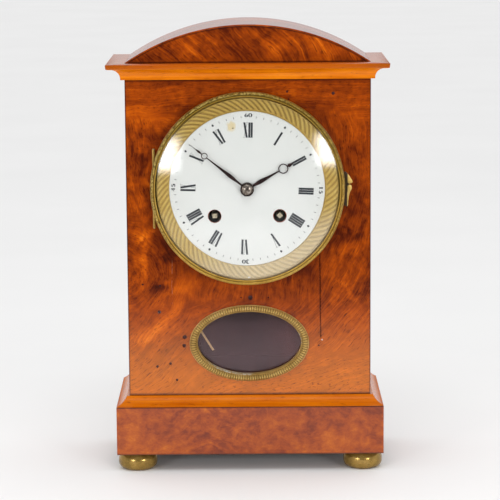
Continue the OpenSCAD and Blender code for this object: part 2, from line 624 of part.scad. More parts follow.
// count wheel: one notch before each hour, the gaps grow with the count
module count_wheel() color(brass) moved() translate([S2[0], 0, S2[1]]) slab(50.8, 52) difference() {
    circle(r = 20, $fn = 120);
    for (h = [1 : 12]) let (s = h * (h + 1) / 2 + h, a = 360 * s / 90)
        rotate(a) translate([18.2, -0.6]) square([3, 1.2]);
    difference() {
        circle(r = 16, $fn = 96);
        circle(r = 3.4, $fn = 32);
        for (i = [0 : 3]) rotate(90 * i + 30) translate([0, -1.2]) square([17, 2.4]);
    }
    circle(r = 1.2, $fn = 32);
}
module pin_wheel() color(brass) moved() {
    arbor(PW, fp1 + 0.4, bp0 - 0.4, 1, 0.7);
    translate([PW[0], 0, PW[1]]) {
        pinion(8, m_second, angle_to(PW, S2), 44.2, 46.8);
        wheel(64, m_centre, angle_to(PW, FLY), 33, 34.2, 2.6, 4, 2.4);
        for (i = [0 : 9]) round_y(33.5, 37.5, 0.5, polar(O, 9, 36 * i + 10), 16);
    }
}
module strike_fly() color(brass) moved() {
    arbor(FLY, fp1 + 0.4, bp0 - 0.4, 0.75, 0.5);
    translate([FLY[0], 0, FLY[1]]) {
        pinion(7, m_centre, angle_to(FLY, PW), 31.9, 35.3);
        slab(15, 29) rotate(25) translate([-8, -0.35]) square([16, 0.7]);
    }
}
module hammer() color(steel) moved() {
    arbor(HAM, fp1 + 0.4, bp0 - 0.4, 1.2, 0.7, fp0 + 0.3, bp0);
    round_y(bp0 - 1, 70, 1, HAM, 32);
    translate([HAM[0], 0, HAM[1]]) {
        slab(35.2, 36.6) difference() {
            union() {
                circle(r = 2.4, $fn = 32);
                rotate(angle_to(HAM, PW)) translate([0, -0.9]) square([6.4, 1.8]);
            }
            circle(r = 1.2, $fn = 24);
        }
        slab(68.2, 69.8) union() {
            circle(r = 2.6, $fn = 32);
            rotate(-45.4) translate([0, -0.9]) square([20, 1.8]);
        }
        translate([10.8, 69, -15]) rotate([0, 90, 0]) cylinder(h = 8, r = 3.4, $fn = 40);
    }
}
module bell() color("goldenrod") moved() translate([BELL[0], 0, BELL[1]]) turned_y([
    [32, 66], [31.4, 69], [29.8, 73], [26.8, 77], [22, 80.6], [15, 83.2], [8, 84.4], [2.5, 84.6],
    [2.5, 82.6], [8, 82.6], [14.2, 81.3], [20.6, 79], [25, 75.8], [27.8, 72.2], [29.3, 68.6], [30, 66]]);
module bell_stand() color(steel) moved() translate([BELL[0], 0, BELL[1]]) turned_y([
    [0, bp1], [6, bp1], [6, bp1 + 2], [3, bp1 + 4], [2.6, 66], [2.6, 78], [5, 79], [5, 82.6], [2.4, 82.6],
    [2.4, 84.6], [4.4, 84.6], [4.4, 87], [0, 87]], 48);

front_feet();
back_feet();
plinth();
bottom_board();
plinth_moulding();
front_panel();
side_panel_left();
side_panel_right();
back_frame();
top_board();
cornice();
tympanum();
pediment_back();
pediment_roof();
rear_door();
door_case_hinges();
door_hinge_leaves();
door_knob();
dial_surround();
bezel_hinge_pin();
bezel_rim();
bezel_thumb_tab();
dial_glass();
enamel_dial();
hour_hand();
minute_hand();
hand_collet();
window_ring();
window_glass();
pendulum_holdfast();
front_plate();
back_plate();
plate_pillars();
movement_screws();
going_barrel();
going_mainspring();
going_winding_arbor();
strike_barrel();
strike_mainspring();
strike_winding_arbor();
second_wheel();
centre_wheel();
third_wheel();
escape_wheel();
pallets();
cannon_pinion();
minute_wheel();
hour_wheel();
suspension_cock();
suspension_spring();
pendulum_rod();
pendulum_bob();
rating_nut();
strike_second_wheel();
count_wheel();
pin_wheel();
strike_fly();
hammer();
bell();
bell_stand();
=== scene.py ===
# Looks of the table clock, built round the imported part. Metres, +Z up, the dial looks along -Y.
# Drawings below are in millimetres, with depth y counted from the front face of the case.
import bpy
import bmesh
import math
import random
from mathutils import Matrix, Vector


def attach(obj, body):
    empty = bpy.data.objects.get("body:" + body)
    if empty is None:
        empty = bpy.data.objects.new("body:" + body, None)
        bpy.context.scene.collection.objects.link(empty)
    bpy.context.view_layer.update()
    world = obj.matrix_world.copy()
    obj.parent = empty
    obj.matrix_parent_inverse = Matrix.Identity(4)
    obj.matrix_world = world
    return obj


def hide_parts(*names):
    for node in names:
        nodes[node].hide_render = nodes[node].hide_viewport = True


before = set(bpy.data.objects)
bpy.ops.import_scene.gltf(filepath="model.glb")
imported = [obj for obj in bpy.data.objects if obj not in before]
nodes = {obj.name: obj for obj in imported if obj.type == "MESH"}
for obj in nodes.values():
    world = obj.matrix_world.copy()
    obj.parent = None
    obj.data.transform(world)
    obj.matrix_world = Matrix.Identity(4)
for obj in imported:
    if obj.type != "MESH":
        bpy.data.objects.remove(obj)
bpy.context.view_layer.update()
scene = bpy.context.scene
random.seed(7)

YS = -44.75                      # depth of the case's front face in the part's frame
MOVE = (-1.1, 229.2)             # centre of the dial and the movement: x, height
SUR = (-0.7, 229.5)              # centre of the fixed surround
RIM = (-0.7, 229.9)              # centre of the hinged rim
WIN = (-0.2, 103.6)              # centre of the oval window
HW, BODY_D = 97.3, 100.2
Z_FEET, Z_PLINTH, Z_TOP, Z_PEDI = 14.0, 53.3, 316.2, 328.8
OVER, CORN = 10.2, 14.4
TAU = 2 * math.pi


def w(x, y, z):
    return (x / 1000, (y + YS) / 1000, z / 1000)


# ------------------------------------------------------------------ mesh code
def link(name, me, body, mats, instead=()):
    ob = bpy.data.objects.new(name, me)
    scene.collection.objects.link(ob)
    for m in mats if isinstance(mats, (list, tuple)) else [mats]:
        me.materials.append(m)
    if body:
        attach(ob, body)
        if instead:
            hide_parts(*instead)
    return ob


def tidy(me, smooth=35, weld=1e-7):
    bm = bmesh.new()
    bm.from_mesh(me)
    if weld:
        bmesh.ops.remove_doubles(bm, verts=bm.verts, dist=weld)
    bmesh.ops.dissolve_degenerate(bm, edges=bm.edges, dist=1e-8)
    bmesh.ops.recalc_face_normals(bm, faces=bm.faces)
    bm.to_mesh(me)
    bm.free()
    me.shade_smooth()
    me.set_sharp_from_angle(angle=math.radians(smooth))
    return me


def mesh(verts, faces, smooth=35):
    me = bpy.data.meshes.new("m")
    me.from_pydata(verts, [], faces)
    return tidy(me, smooth)


def join(parts, smooth=35):
    """One mesh of several closed ones, each given as (verts, faces)."""
    verts, faces = [], []
    for v, f in parts:
        k = len(verts)
        verts += v
        faces += [tuple(i + k for i in q) for q in f]
    return mesh(verts, faces, smooth)


def loft(rings, close_ring=True, caps=True, closed_path=False):
    """Faces between rings of equal length; closed_path joins the last ring to the first."""
    n = len(rings[0])
    verts = [p for r in rings for p in r]
    faces = []
    m = len(rings)
    for i in range(m if closed_path else m - 1):
        a, b = i * n, ((i + 1) % m) * n
        for j in range(n if close_ring else n - 1):
            k = (j + 1) % n
            faces.append((a + j, a + k, b + k, b + j))
    if caps and not closed_path:
        faces.append(tuple(range(n - 1, -1, -1)))
        faces.append(tuple((m - 1) * n + j for j in range(n)))
    return verts, faces


def turn(profile, centre, n=192, change=None, solid=False):
    """Turns a profile of (radius, depth) about the depth axis. solid: the profile starts and ends on the axis."""
    cx, cz = centre
    rings = []
    body = profile[1:-1] if solid else profile
    for i in range(n):
        a = TAU * i / n
        ring = []
        for j, (r, y) in enumerate(body):
            if change:
                r, y = change(j, r, y, a)
            ring.append(w(cx + r * math.cos(a), y, cz + r * math.sin(a)))
        rings.append(ring)
    if not solid:
        return loft(rings, True, False, True)
    verts, faces = loft(rings, False, False, True)
    m = len(body)
    k = len(verts)
    verts += [w(cx, profile[0][1], cz), w(cx, profile[-1][1], cz)]
    for i in range(n):
        j = (i + 1) % n
        faces.append((k, j * m, i * m))
        faces.append((k + 1, i * m + m - 1, j * m + m - 1))
    return verts, faces


def turn_z(profile, x, y, n=96):
    """Turns a profile of (radius, height) about an upright axis; it starts and ends on the axis."""
    rings = []
    for i in range(n):
        a = TAU * i / n
        rings.append([w(x + r * math.cos(a), y + r * math.sin(a), z) for r, z in profile[1:-1]])
    verts, faces = loft(rings, False, False, True)
    m = len(profile) - 2
    k = len(verts)
    verts += [w(x, y, profile[0][1]), w(x, y, profile[-1][1])]
    for i in range(n):
        j = (i + 1) % n
        faces.append((k, i * m, j * m))
        faces.append((k + 1, j * m + m - 1, i * m + m - 1))
    return verts, faces


def prism(outline, y0, y1):
    """A drawing of (x, height) points pushed from depth y0 to y1."""
    return loft([[w(x, y0, z) for x, z in outline], [w(x, y1, z) for x, z in outline]])


def box(x0, x1, y0, y1, z0, z1):
    return prism([(x0, z0), (x1, z0), (x1, z1), (x0, z1)], y0, y1)


def bevelled(me, size, segments=2, angle=30, smooth=18):
    """Rounds the edges sharper than angle, all round."""
    bm = bmesh.new()
    bm.from_mesh(me)
    bmesh.ops.remove_doubles(bm, verts=bm.verts, dist=1e-7)
    bmesh.ops.dissolve_limit(bm, angle_limit=math.radians(1), verts=bm.verts, edges=bm.edges)
    lim = math.radians(angle)
    edges = [e for e in bm.edges if len(e.link_faces) == 2 and e.calc_face_angle(0) > lim]
    bmesh.ops.bevel(bm, geom=edges, offset=size / 1000, segments=segments, profile=0.5, affect="EDGES",
                    clamp_overlap=True)
    bm.to_mesh(me)
    bm.free()
    return tidy(me, smooth)


def carve(me, cutters, smooth=35, op="DIFFERENCE"):
    """Takes closed cutter meshes, each (verts, faces), out of a mesh."""
    a = bpy.data.objects.new("carve_a", me)
    b = bpy.data.objects.new("carve_b", join(cutters))
    for o in (a, b):
        scene.collection.objects.link(o)
    mod = a.modifiers.new("cut", "BOOLEAN")
    mod.operation, mod.solver, mod.object = op, "EXACT", b
    dg = bpy.context.evaluated_depsgraph_get()
    out = bpy.data.meshes.new_from_object(a.evaluated_get(dg))
    for o in (a, b):
        bpy.data.objects.remove(o)
    return tidy(out, smooth, 1e-6)


def circle(r, n=64, cx=0.0, cz=0.0, a0=0.0):
    return [(cx + r * math.cos(a0 + TAU * i / n), cz + r * math.sin(a0 + TAU * i / n)) for i in range(n)]


def outline_mesh(loops, y0, y1, bevel=0.0, surface=None):
    """Closed mesh of a flat drawing with holes, pushed from y0 to y1. loops: the outline, then its holes.
    surface(x, z) adds a depth to every point, so that it can lie on a curved face."""
    cu = bpy.data.curves.new("c", "CURVE")
    cu.dimensions, cu.fill_mode = "2D", "BOTH"
    cu.extrude = (y1 - y0) / 2 - bevel
    cu.bevel_depth, cu.bevel_resolution = bevel, 1
    cu.offset = -bevel
    for loop in loops:
        sp = cu.splines.new("POLY")
        sp.points.add(len(loop) - 1)
        for p, (x, z) in zip(sp.points, loop):
            p.co = (x, z, 0, 1)
        sp.use_cyclic_u = True
    ob = bpy.data.objects.new("c", cu)
    scene.collection.objects.link(ob)
    dg = bpy.context.evaluated_depsgraph_get()
    me = bpy.data.meshes.new_from_object(ob.evaluated_get(dg))
    bpy.data.objects.remove(ob)
    mid = (y0 + y1) / 2
    for v in me.vertices:
        x, z, d = v.co
        extra = surface(x, z) if surface else 0
        v.co = w(x, mid - d + extra, z)
    bm = bmesh.new()
    bm.from_mesh(me)
    bmesh.ops.remove_doubles(bm, verts=bm.verts, dist=2e-7)
    out = [v.co.copy() for v in bm.verts]
    faces = [tuple(v.index for v in f.verts) for f in bm.faces]
    bm.free()
    bpy.data.meshes.remove(me)
    return [tuple(v) for v in out], faces


# ------------------------------------------------------------- material code
def lin(v):
    v /= 255
    return v / 12.92 if v <= 0.04045 else ((v + 0.055) / 1.055) ** 2.4


def C(r, g, b):
    return (lin(r), lin(g), lin(b), 1.0)


class Mat:
    """Short forms for building one node material."""

    def __init__(self, name):
        self.mat = bpy.data.materials.new(name)
        self.mat.use_nodes = True
        self.t = self.mat.node_tree
        self.t.nodes.clear()
        self._p = None

    def put(self, sock, v):
        if isinstance(v, bpy.types.NodeSocket):
            self.t.links.new(v, sock)
        elif v is not None:
            sock.default_value = v

    def n(self, kind, **props):
        nd = self.t.nodes.new("ShaderNode" + kind)
        for k, v in props.items():
            setattr(nd, k, v)
        return nd

    def m(self, op, a, b=None, c=None, clamp=False):
        nd = self.n("Math", operation=op, use_clamp=clamp)
        for s, v in zip(nd.inputs, (a, b, c)):
            self.put(s, v)
        return nd.outputs[0]

    def add(self, *a):
        r = a[0]
        for b in a[1:]:
            r = self.m("ADD", r, b)
        return r

    def mul(self, *a):
        r = a[0]
        for b in a[1:]:
            r = self.m("MULTIPLY", r, b)
        return r

    def sub(self, a, b):
        return self.m("SUBTRACT", a, b)

    def xyz(self):
        """Position in millimetres, in the part's frame: x, depth and height sockets."""
        if self._p is None:
            tc = self.n("TexCoord")
            sc = self.n("VectorMath", operation="SCALE")
            self.put(sc.inputs[0], tc.outputs["Object"])
            sc.inputs["Scale"].default_value = 1000
            sep = self.n("SeparateXYZ")
            self.put(sep.inputs[0], sc.outputs[0])
            self._p = (sep.outputs[0], sep.outputs[1], sep.outputs[2])
        return self._p

    def vec(self, x=0.0, y=0.0, z=0.0):
        nd = self.n("CombineXYZ")
        for s, v in zip(nd.inputs, (x, y, z)):
            self.put(s, v)
        return nd.outputs[0]

    def noise(self, vec, scale=1.0, detail=3.0, rough=0.5, dist=0.0, colour=False):
        nd = self.n("TexNoise", noise_dimensions="3D")
        self.put(nd.inputs["Vector"], vec)
        for k, v in (("Scale", scale), ("Detail", detail), ("Roughness", rough), ("Distortion", dist)):
            nd.inputs[k].default_value = v
        return nd.outputs["Color" if colour else "Fac"]

    def cells(self, vec, scale=1.0, rand=1.0, out="Distance", feature="F1"):
        nd = self.n("TexVoronoi", voronoi_dimensions="3D", feature=feature)
        self.put(nd.inputs["Vector"], vec)
        nd.inputs["Scale"].default_value = scale
        nd.inputs["Randomness"].default_value = rand
        return nd.outputs[out]

    def rng(self, v, a, b, c=0.0, d=1.0, smooth=True):
        nd = self.n("MapRange", interpolation_type="SMOOTHSTEP" if smooth else "LINEAR")
        for s, x in zip(nd.inputs, (v, a, b, c, d)):
            self.put(s, x)
        return nd.outputs[0]

    def ramp(self, fac, stops, interp="LINEAR"):
        nd = self.n("ValToRGB")
        cr = nd.color_ramp
        cr.interpolation = interp
        while len(cr.elements) < len(stops):
            cr.elements.new(0.5)
        for e, (p, c) in zip(cr.elements, stops):
            e.position, e.color = p, c
        self.put(nd.inputs[0], fac)
        return nd.outputs[0]

    def mix(self, fac, a, b, blend="MIX"):
        nd = self.n("Mix", data_type="RGBA", blend_type=blend)
        self.put(nd.inputs[0], fac)
        self.put(nd.inputs[6], a)
        self.put(nd.inputs[7], b)
        return nd.outputs[2]

    def blob(self, h, v, ch, cv, rh, rv, turn=0.0, soft=1.0):
        """1 at the middle of a soft oval spot, 0 outside it."""
        dh, dv = self.sub(h, ch), self.sub(v, cv)
        c, s = math.cos(math.radians(turn)), math.sin(math.radians(turn))
        a = self.m("DIVIDE", self.add(self.mul(dh, c), self.mul(dv, s)), rh)
        b = self.m("DIVIDE", self.sub(self.mul(dv, c), self.mul(dh, s)), rv)
        d = self.m("SQRT", self.add(self.mul(a, a), self.mul(b, b)))
        return self.rng(d, 1.0, 1.0 - soft, 0.0, 1.0)

    def bump(self, height, strength=0.3, distance=0.0002, normal=None):
        nd = self.n("Bump")
        nd.inputs["Strength"].default_value = strength
        nd.inputs["Distance"].default_value = distance
        self.put(nd.inputs["Height"], height)
        if normal is not None:
            self.put(nd.inputs["Normal"], normal)
        return nd.outputs[0]

    def finish(self, colour, rough=0.5, normal=None, **facts):
        sh = self.n("BsdfPrincipled")
        self.put(sh.inputs["Base Color"], colour)
        self.put(sh.inputs["Roughness"], rough)
        if normal is not None:
            self.put(sh.inputs["Normal"], normal)
        for k, v in facts.items():
            self.put(sh.inputs[k.replace("_", " ")], v)
        out = self.n("OutputMaterial")
        self.put(out.inputs[0], sh.outputs[0])
        return self.mat


def figure(g, h, v, centre, across=7.0, along=150.0, seed=0.0, wander=12.0, mean=160.0, fine=1.9, pore=(5.5, 0.75)):
    """Figure of a veneer whose lines run round a far centre: broad streaks, thin lines and pores."""
    wn = g.noise(g.vec(h, seed * 37.0, v), 0.016, 3, 0.5, colour=True)
    sep = g.n("SeparateColor")
    g.put(sep.inputs[0], wn)
    dh = g.sub(g.add(h, g.mul(g.sub(sep.outputs[0], 0.5), wander * 2.2)), centre[0])
    dv = g.sub(g.add(v, g.mul(g.sub(sep.outputs[2], 0.5), wander * 2.2)), centre[1])
    r = g.m("SQRT", g.add(g.mul(dh, dh), g.mul(dv, dv)))
    arc = g.mul(g.m("ARCTAN2", dv, dh), mean)
    broad = g.noise(g.vec(g.m("DIVIDE", arc, along), seed * 11.0, g.m("DIVIDE", r, across)), 1.0, 3, 0.55)
    thin = g.noise(g.vec(g.m("DIVIDE", arc, along * 0.3), seed * 7.0 + 2, g.m("DIVIDE", r, fine)), 1.0, 3, 0.6)
    fibre = g.noise(g.vec(g.m("DIVIDE", arc, 14.0), seed * 9.0 + 1, g.m("DIVIDE", r, 0.95)), 1.0, 2, 0.6)
    thin = g.add(thin, g.mul(g.sub(fibre, 0.5), 0.6))
    pores = g.noise(g.vec(g.m("DIVIDE", arc, pore[0]), seed * 5.0, g.m("DIVIDE", r, pore[1])), 1.0, 2, 0.5)
    return broad, thin, pores


DEEP = ((0.0, C(52, 15, 5)), (0.22, C(88, 29, 6)), (0.42, C(126, 49, 5)), (0.60, C(156, 65, 4)), (0.78, C(188, 85, 4)),
        (1.0, C(222, 118, 20)))


def varnished(g, f, pores, mott, rough, coat_rough, stops=DEEP, pore_amount=0.62, pore_level=(0.58, 0.67), pore_colour=(48, 16, 6),
              change=None):
    """The last steps that all the veneers share: colours, dark pores and the gloss of the varnish."""
    colour = g.ramp(f, list(stops))
    if change:
        colour = change(colour)
    dark = g.rng(pores, *pore_level)
    colour = g.mix(g.mul(dark, pore_amount), colour, C(*pore_colour))
    normal = g.bump(g.sub(1.0, dark), 0.2, 0.0001)
    return g.finish(colour, rough, normal, Specular_IOR_Level=0.0, Coat_Weight=1.0, Coat_Roughness=coat_rough, Coat_IOR=1.5)


def mahogany(name, plane="xz", centre=(-80.0, 290.0), seed=0.0, spots=(), across=7.0, coat_rough=0.14, shift=0.0, mean=160.0,
             depth=(1.0, 0.55, 0.6, 0.5), edge=None):
    """Flame veneer under an old varnish. spots: (h, v, rh, rv, turn, amount), amount below 0 darkens.
    edge: a function that returns a 0..1 mask of borders darkened with painted shade."""
    g = Mat(name)
    x, y, z = g.xyz()
    h, v = {"xz": (x, z), "yz": (y, z), "xy": (x, y)}[plane]
    broad, thin, pores = figure(g, h, v, centre, across, seed=seed, mean=mean)
    cloud = g.noise(g.vec(h, seed * 13.0 + 3, v), 0.030, 3, 0.6, 0.6)
    mott = g.noise(g.vec(h, seed * 17.0 + 9, v), 0.16, 3, 0.6, 0.4)
    f = g.add(g.mul(g.sub(broad, 0.5), depth[0]), g.mul(g.sub(thin, 0.5), depth[1]), g.mul(g.sub(cloud, 0.5), depth[2]),
              g.mul(g.sub(mott, 0.5), depth[3]), 0.5 + shift)
    for ch, cv, rh, rv, turn_, amount in spots:
        f = g.add(f, g.mul(g.blob(h, v, ch, cv, rh, rv, turn_), amount))
    # painted shade: the borders picked out by the edge mask are darkened
    grime_and_shade = (lambda colour: g.mix(g.mul(edge(g, h, v), 0.75), colour, C(38, 15, 8))) if edge else None
    return varnished(g, f, pores, mott, 0.5, coat_rough, change=grime_and_shade)


# filled nail holes and knocks of the front: x, height, radius
MARKS = ((-72.4, 129.5, 1.4), (-52.2, 108.7, 1.7), (-52.4, 101.7, 1.6), (-74.3, 84.8, 1.1), (-63.9, 87.1, 1.1), (-58.8, 73.6, 1.0),
         (-85.0, 152.0, 0.8), (-71.2, 151.0, 0.8), (0.8, 140.6, 1.9), (15.4, 140.8, 0.6), (-6.5, 140.8, 0.55), (67.6, 304.4, 1.3),
         (55.6, 101.3, 0.65), (31.2, 306.0, 1.0), (32.0, 300.0, 0.7))


def front_veneer():
    """The front: level dark wood at the top, orange flares beside the dial, a swirl at the lower left, wide arcs below."""
    g = Mat("front_veneer")
    x, y, z = g.xyz()
    wide = figure(g, x, z, (-80.0, 247.0), 10.0, 190.0, 1.0, 10.0)
    swirl = figure(g, x, z, (-108.0, 158.0), 9.0, 80.0, 2.0, 17.0, 55.0)
    lobe = figure(g, x, z, (-200.0, 240.0), 8.0, 120.0, 5.0, 12.0, 190.0)
    slope = figure(g, x, z, (513.0, -1367.0), 6.5, 130.0, 6.0, 10.0, 1500.0, 1.8, (4.0, 0.7))
    level = figure(g, x, z, (20.0, -1500.0), 6.0, 120.0, 3.0, 9.0, 1800.0, 1.7, (3.2, 0.6))
    upright = figure(g, x, z, (-900.0, 210.0), 7.0, 60.0, 4.0, 14.0, 800.0, 2.4)
    wob = g.mul(g.sub(g.noise(g.vec(x, 5.0, z), 0.05, 2, 0.5), 0.5), 22.0)
    k_level = g.rng(g.add(z, wob), 281.0, 292.0)
    k_left = g.mul(g.rng(g.add(x, wob), -66.0, -80.0), g.rng(g.add(z, wob), 178.0, 196.0))
    dx, dz = g.sub(x, -103.0), g.sub(z, 152.0)
    rb = g.add(g.m("SQRT", g.add(g.mul(dx, dx), g.mul(dz, dz))), g.mul(wob, 0.5))
    k_swirl = g.rng(rb, 70.0, 40.0)
    k_mid = g.mul(g.rng(z, 168.0, 158.0), g.rng(z, 132.0, 142.0), g.rng(x, -62.0, -44.0), g.rng(x, 62.0, 44.0))
    k_lobe = g.mul(g.rng(g.add(x, wob), -26.0, -56.0), g.rng(g.add(z, wob), 140.0, 122.0))
    k_slope = g.mul(g.rng(g.add(z, wob), 104.0, 84.0), g.rng(g.add(x, wob), -60.0, -34.0))

    def pick(i):
        r = wide[i]
        for k, field in ((k_left, upright), (k_mid, upright), (k_swirl, swirl), (k_lobe, lobe), (k_slope, slope), (k_level, level)):
            nd = g.n("Mix", data_type="FLOAT")
            g.put(nd.inputs[0], k)
            g.put(nd.inputs[2], r)
            g.put(nd.inputs[3], field[i])
            r = nd.outputs[0]
        return r

    broad, thin, pores = pick(0), pick(1), pick(2)
    cloud = g.noise(g.vec(x, 16.0, z), 0.030, 3, 0.6, 0.6)
    mott = g.noise(g.vec(x, 26.0, z), 0.16, 4, 0.6, 0.4)
    flame = g.noise(g.vec(x, 33.0, g.mul(z, 0.6)), 0.085, 3, 0.55, 1.2)
    beside = g.mul(g.rng(g.m("ABSOLUTE", x), 56.0, 72.0), g.rng(z, 120.0, 150.0), g.rng(z, 290.0, 268.0))
    calm = g.rng(z, 140.0, 90.0)
    f = g.add(g.mul(g.sub(broad, 0.5), g.sub(0.64, g.mul(calm, 0.12))), g.mul(g.sub(thin, 0.5), 0.54), g.mul(g.sub(flame, 0.5), g.mul(beside, 0.8)),
              g.mul(g.sub(cloud, 0.5), g.sub(0.48, g.mul(calm, 0.14))), g.mul(g.sub(mott, 0.5), g.sub(0.46, g.mul(calm, 0.12))), 0.445)
    warp = g.add(z, g.mul(g.sub(mott, 0.5), 14.0))
    warpx = g.add(x, g.mul(g.sub(cloud, 0.5), 22.0))
    for ch, cv, rh, rv, turn_, amount in (
            (0, 306, 120, 22, 0, 0.09), (-78, 286, 34, 13, -6, 0.16), (-84, 253, 16, 11, 0, -0.14), (-92, 222, 9, 28, 0, 0.21),
            (-68, 186, 15, 22, 20, -0.26), (-85, 190, 17, 4.5, 52, 0.28), (-87, 171, 9, 13, 0, 0.22), (-69, 174, 10, 7, 0, -0.28),
            (-74, 149, 11, 8, 0, -0.18), (-22, 150, 60, 16, 0, 0.07), (46, 162, 18, 15, 30, -0.18), (74, 152, 13, 24, -8, 0.08),
            (92, 140, 7, 18, 0, -0.20), (87, 273, 9, 17, 0, 0.08), (76, 292, 14, 8, 0, 0.04), (88, 222, 13, 32, 0, -0.20),
            (76, 190, 11, 10, 0, -0.24), (-62, 292, 24, 6, 0, -0.12), (-55, 262, 12, 10, 40, -0.18), (80, 250, 12, 24, 0, -0.08)):
        if amount:
            f = g.add(f, g.mul(g.blob(warpx, warp, ch, cv, rh, rv, turn_), amount))
    ridge = g.mul(g.rng(rb, 37.0, 45.0), g.rng(rb, 56.0, 49.0), g.rng(x, -98.0, -84.0), g.rng(z, 160.0, 148.0))
    f = g.add(f, g.mul(ridge, 0.24), g.mul(g.rng(z, 145.0, 70.0, 0.0, 1.0, False), 0.21))
    # the wood is yellower and paler low down; old nail holes and knocks are filled with dark wax
    low = g.rng(z, 135.0, 62.0)

    def change(colour):
        colour = g.mix(g.mul(low, 0.30), colour, C(216, 136, 34))
        holes = None
        for mx, mz, mr in MARKS:
            k = g.blob(g.add(x, g.mul(g.sub(mott, 0.5), 2.0)), z, mx, mz, mr * 1.25, mr * 1.25, 0.0, 0.45)
            holes = k if holes is None else g.m("MAXIMUM", holes, k)
        colour = g.mix(g.mul(holes, 0.92), colour, C(46, 28, 28))
        # painted shade, mottled, in the joints under the cornice and above the plinth moulding; darker down the side
        # edges; a pale scratch and a spot of light paint
        ax = g.m("ABSOLUTE", x)
        edge = g.m("MAXIMUM", g.m("MAXIMUM", g.rng(z, 313.6, 315.9), g.rng(z, 63.6, 61.4)), g.rng(ax, 95.8, 97.1))
        colour = g.mix(g.mul(edge, g.add(0.45, g.mul(mott, 0.6))), colour, C(38, 15, 8))
        line = g.m("ABSOLUTE", g.sub(g.add(x, g.mul(g.sub(cloud, 0.5), 3.0)), -61.9))
        scratch = g.mul(g.rng(line, 0.42, 0.10), g.rng(z, 134.0, 142.0), g.rng(z, 174.0, 166.0), g.rng(mott, 0.42, 0.5))
        colour = g.mix(g.mul(scratch, 0.3), colour, C(190, 134, 96))
        return g.mix(g.mul(g.blob(x, z, 58.3, 105.9, 0.85, 0.7, 0.0, 0.5), 0.9), colour, C(226, 218, 200))

    return varnished(g, f, pores, mott, 0.5, 0.13, change=change)


def burl(name, seed=1.0, plane="xz"):
    """The plinth's mottled veneer, with a soft V figure and one light streak."""
    g = Mat(name)
    x, y, z = g.xyz()
    h, v = (x, z) if plane == "xz" else (y, z)
    wn = g.noise(g.vec(h, seed, v), 0.035, 3, 0.6, colour=True)
    sep = g.n("SeparateColor")
    g.put(sep.inputs[0], wn)
    h2 = g.add(h, g.mul(g.sub(sep.outputs[0], 0.5), 16.0))
    v2 = g.add(v, g.mul(g.sub(sep.outputs[1], 0.5), 16.0))
    spots = g.noise(g.vec(g.mul(h2, 0.8), seed * 3.0, v2), 0.13, 4, 0.6)
    big = g.noise(g.vec(h, seed * 5.0, v), 0.028, 3, 0.55)
    fine = g.noise(g.vec(g.mul(h2, 0.8), seed, g.mul(v2, 1.3)), 0.55, 4, 0.75)
    # lines that fold down to a point left of the middle
    fold = g.add(v2, g.mul(g.m("ABSOLUTE", g.sub(h2, -36.0)), 0.75))
    vee = g.noise(g.vec(0.0, seed + 2, fold), 0.22, 2, 0.5)
    k_vee = g.rng(g.m("ABSOLUTE", g.sub(h, -36.0)), 44.0, 12.0)
    f = g.add(g.mul(g.sub(spots, 0.5), 1.15), g.mul(g.sub(big, 0.5), 0.8), g.mul(g.sub(fine, 0.5), 0.75),
              g.mul(g.mul(g.sub(vee, 0.5), k_vee), 0.7), g.mul(g.blob(h, v, -80.0, 36.0, 5.0, 22.0, 4.0), 0.16), 0.5)
    pores = g.noise(g.vec(g.mul(h, 0.35), 0.0, g.mul(v, 1.5)), 1.0, 2, 0.6)

    def change(colour):
        # painted shade: dark lines in the joints along the plinth's top and bottom edges
        edge = g.m("MAXIMUM", g.rng(z, Z_FEET + 1.6, Z_FEET + 0.3), g.rng(z, Z_PLINTH - 1.4, Z_PLINTH - 0.3))
        return g.mix(g.mul(edge, 0.7), colour, C(42, 18, 12))

    return varnished(g, f, pores, spots, 0.55, 0.2, ((0.0, C(94, 33, 13)), (0.3, C(126, 50, 16)), (0.5, C(148, 64, 16)),
                                                      (0.7, C(168, 79, 15)), (1.0, C(192, 104, 24))), 0.35, (0.62, 0.72), (64, 24, 16),
                     change)


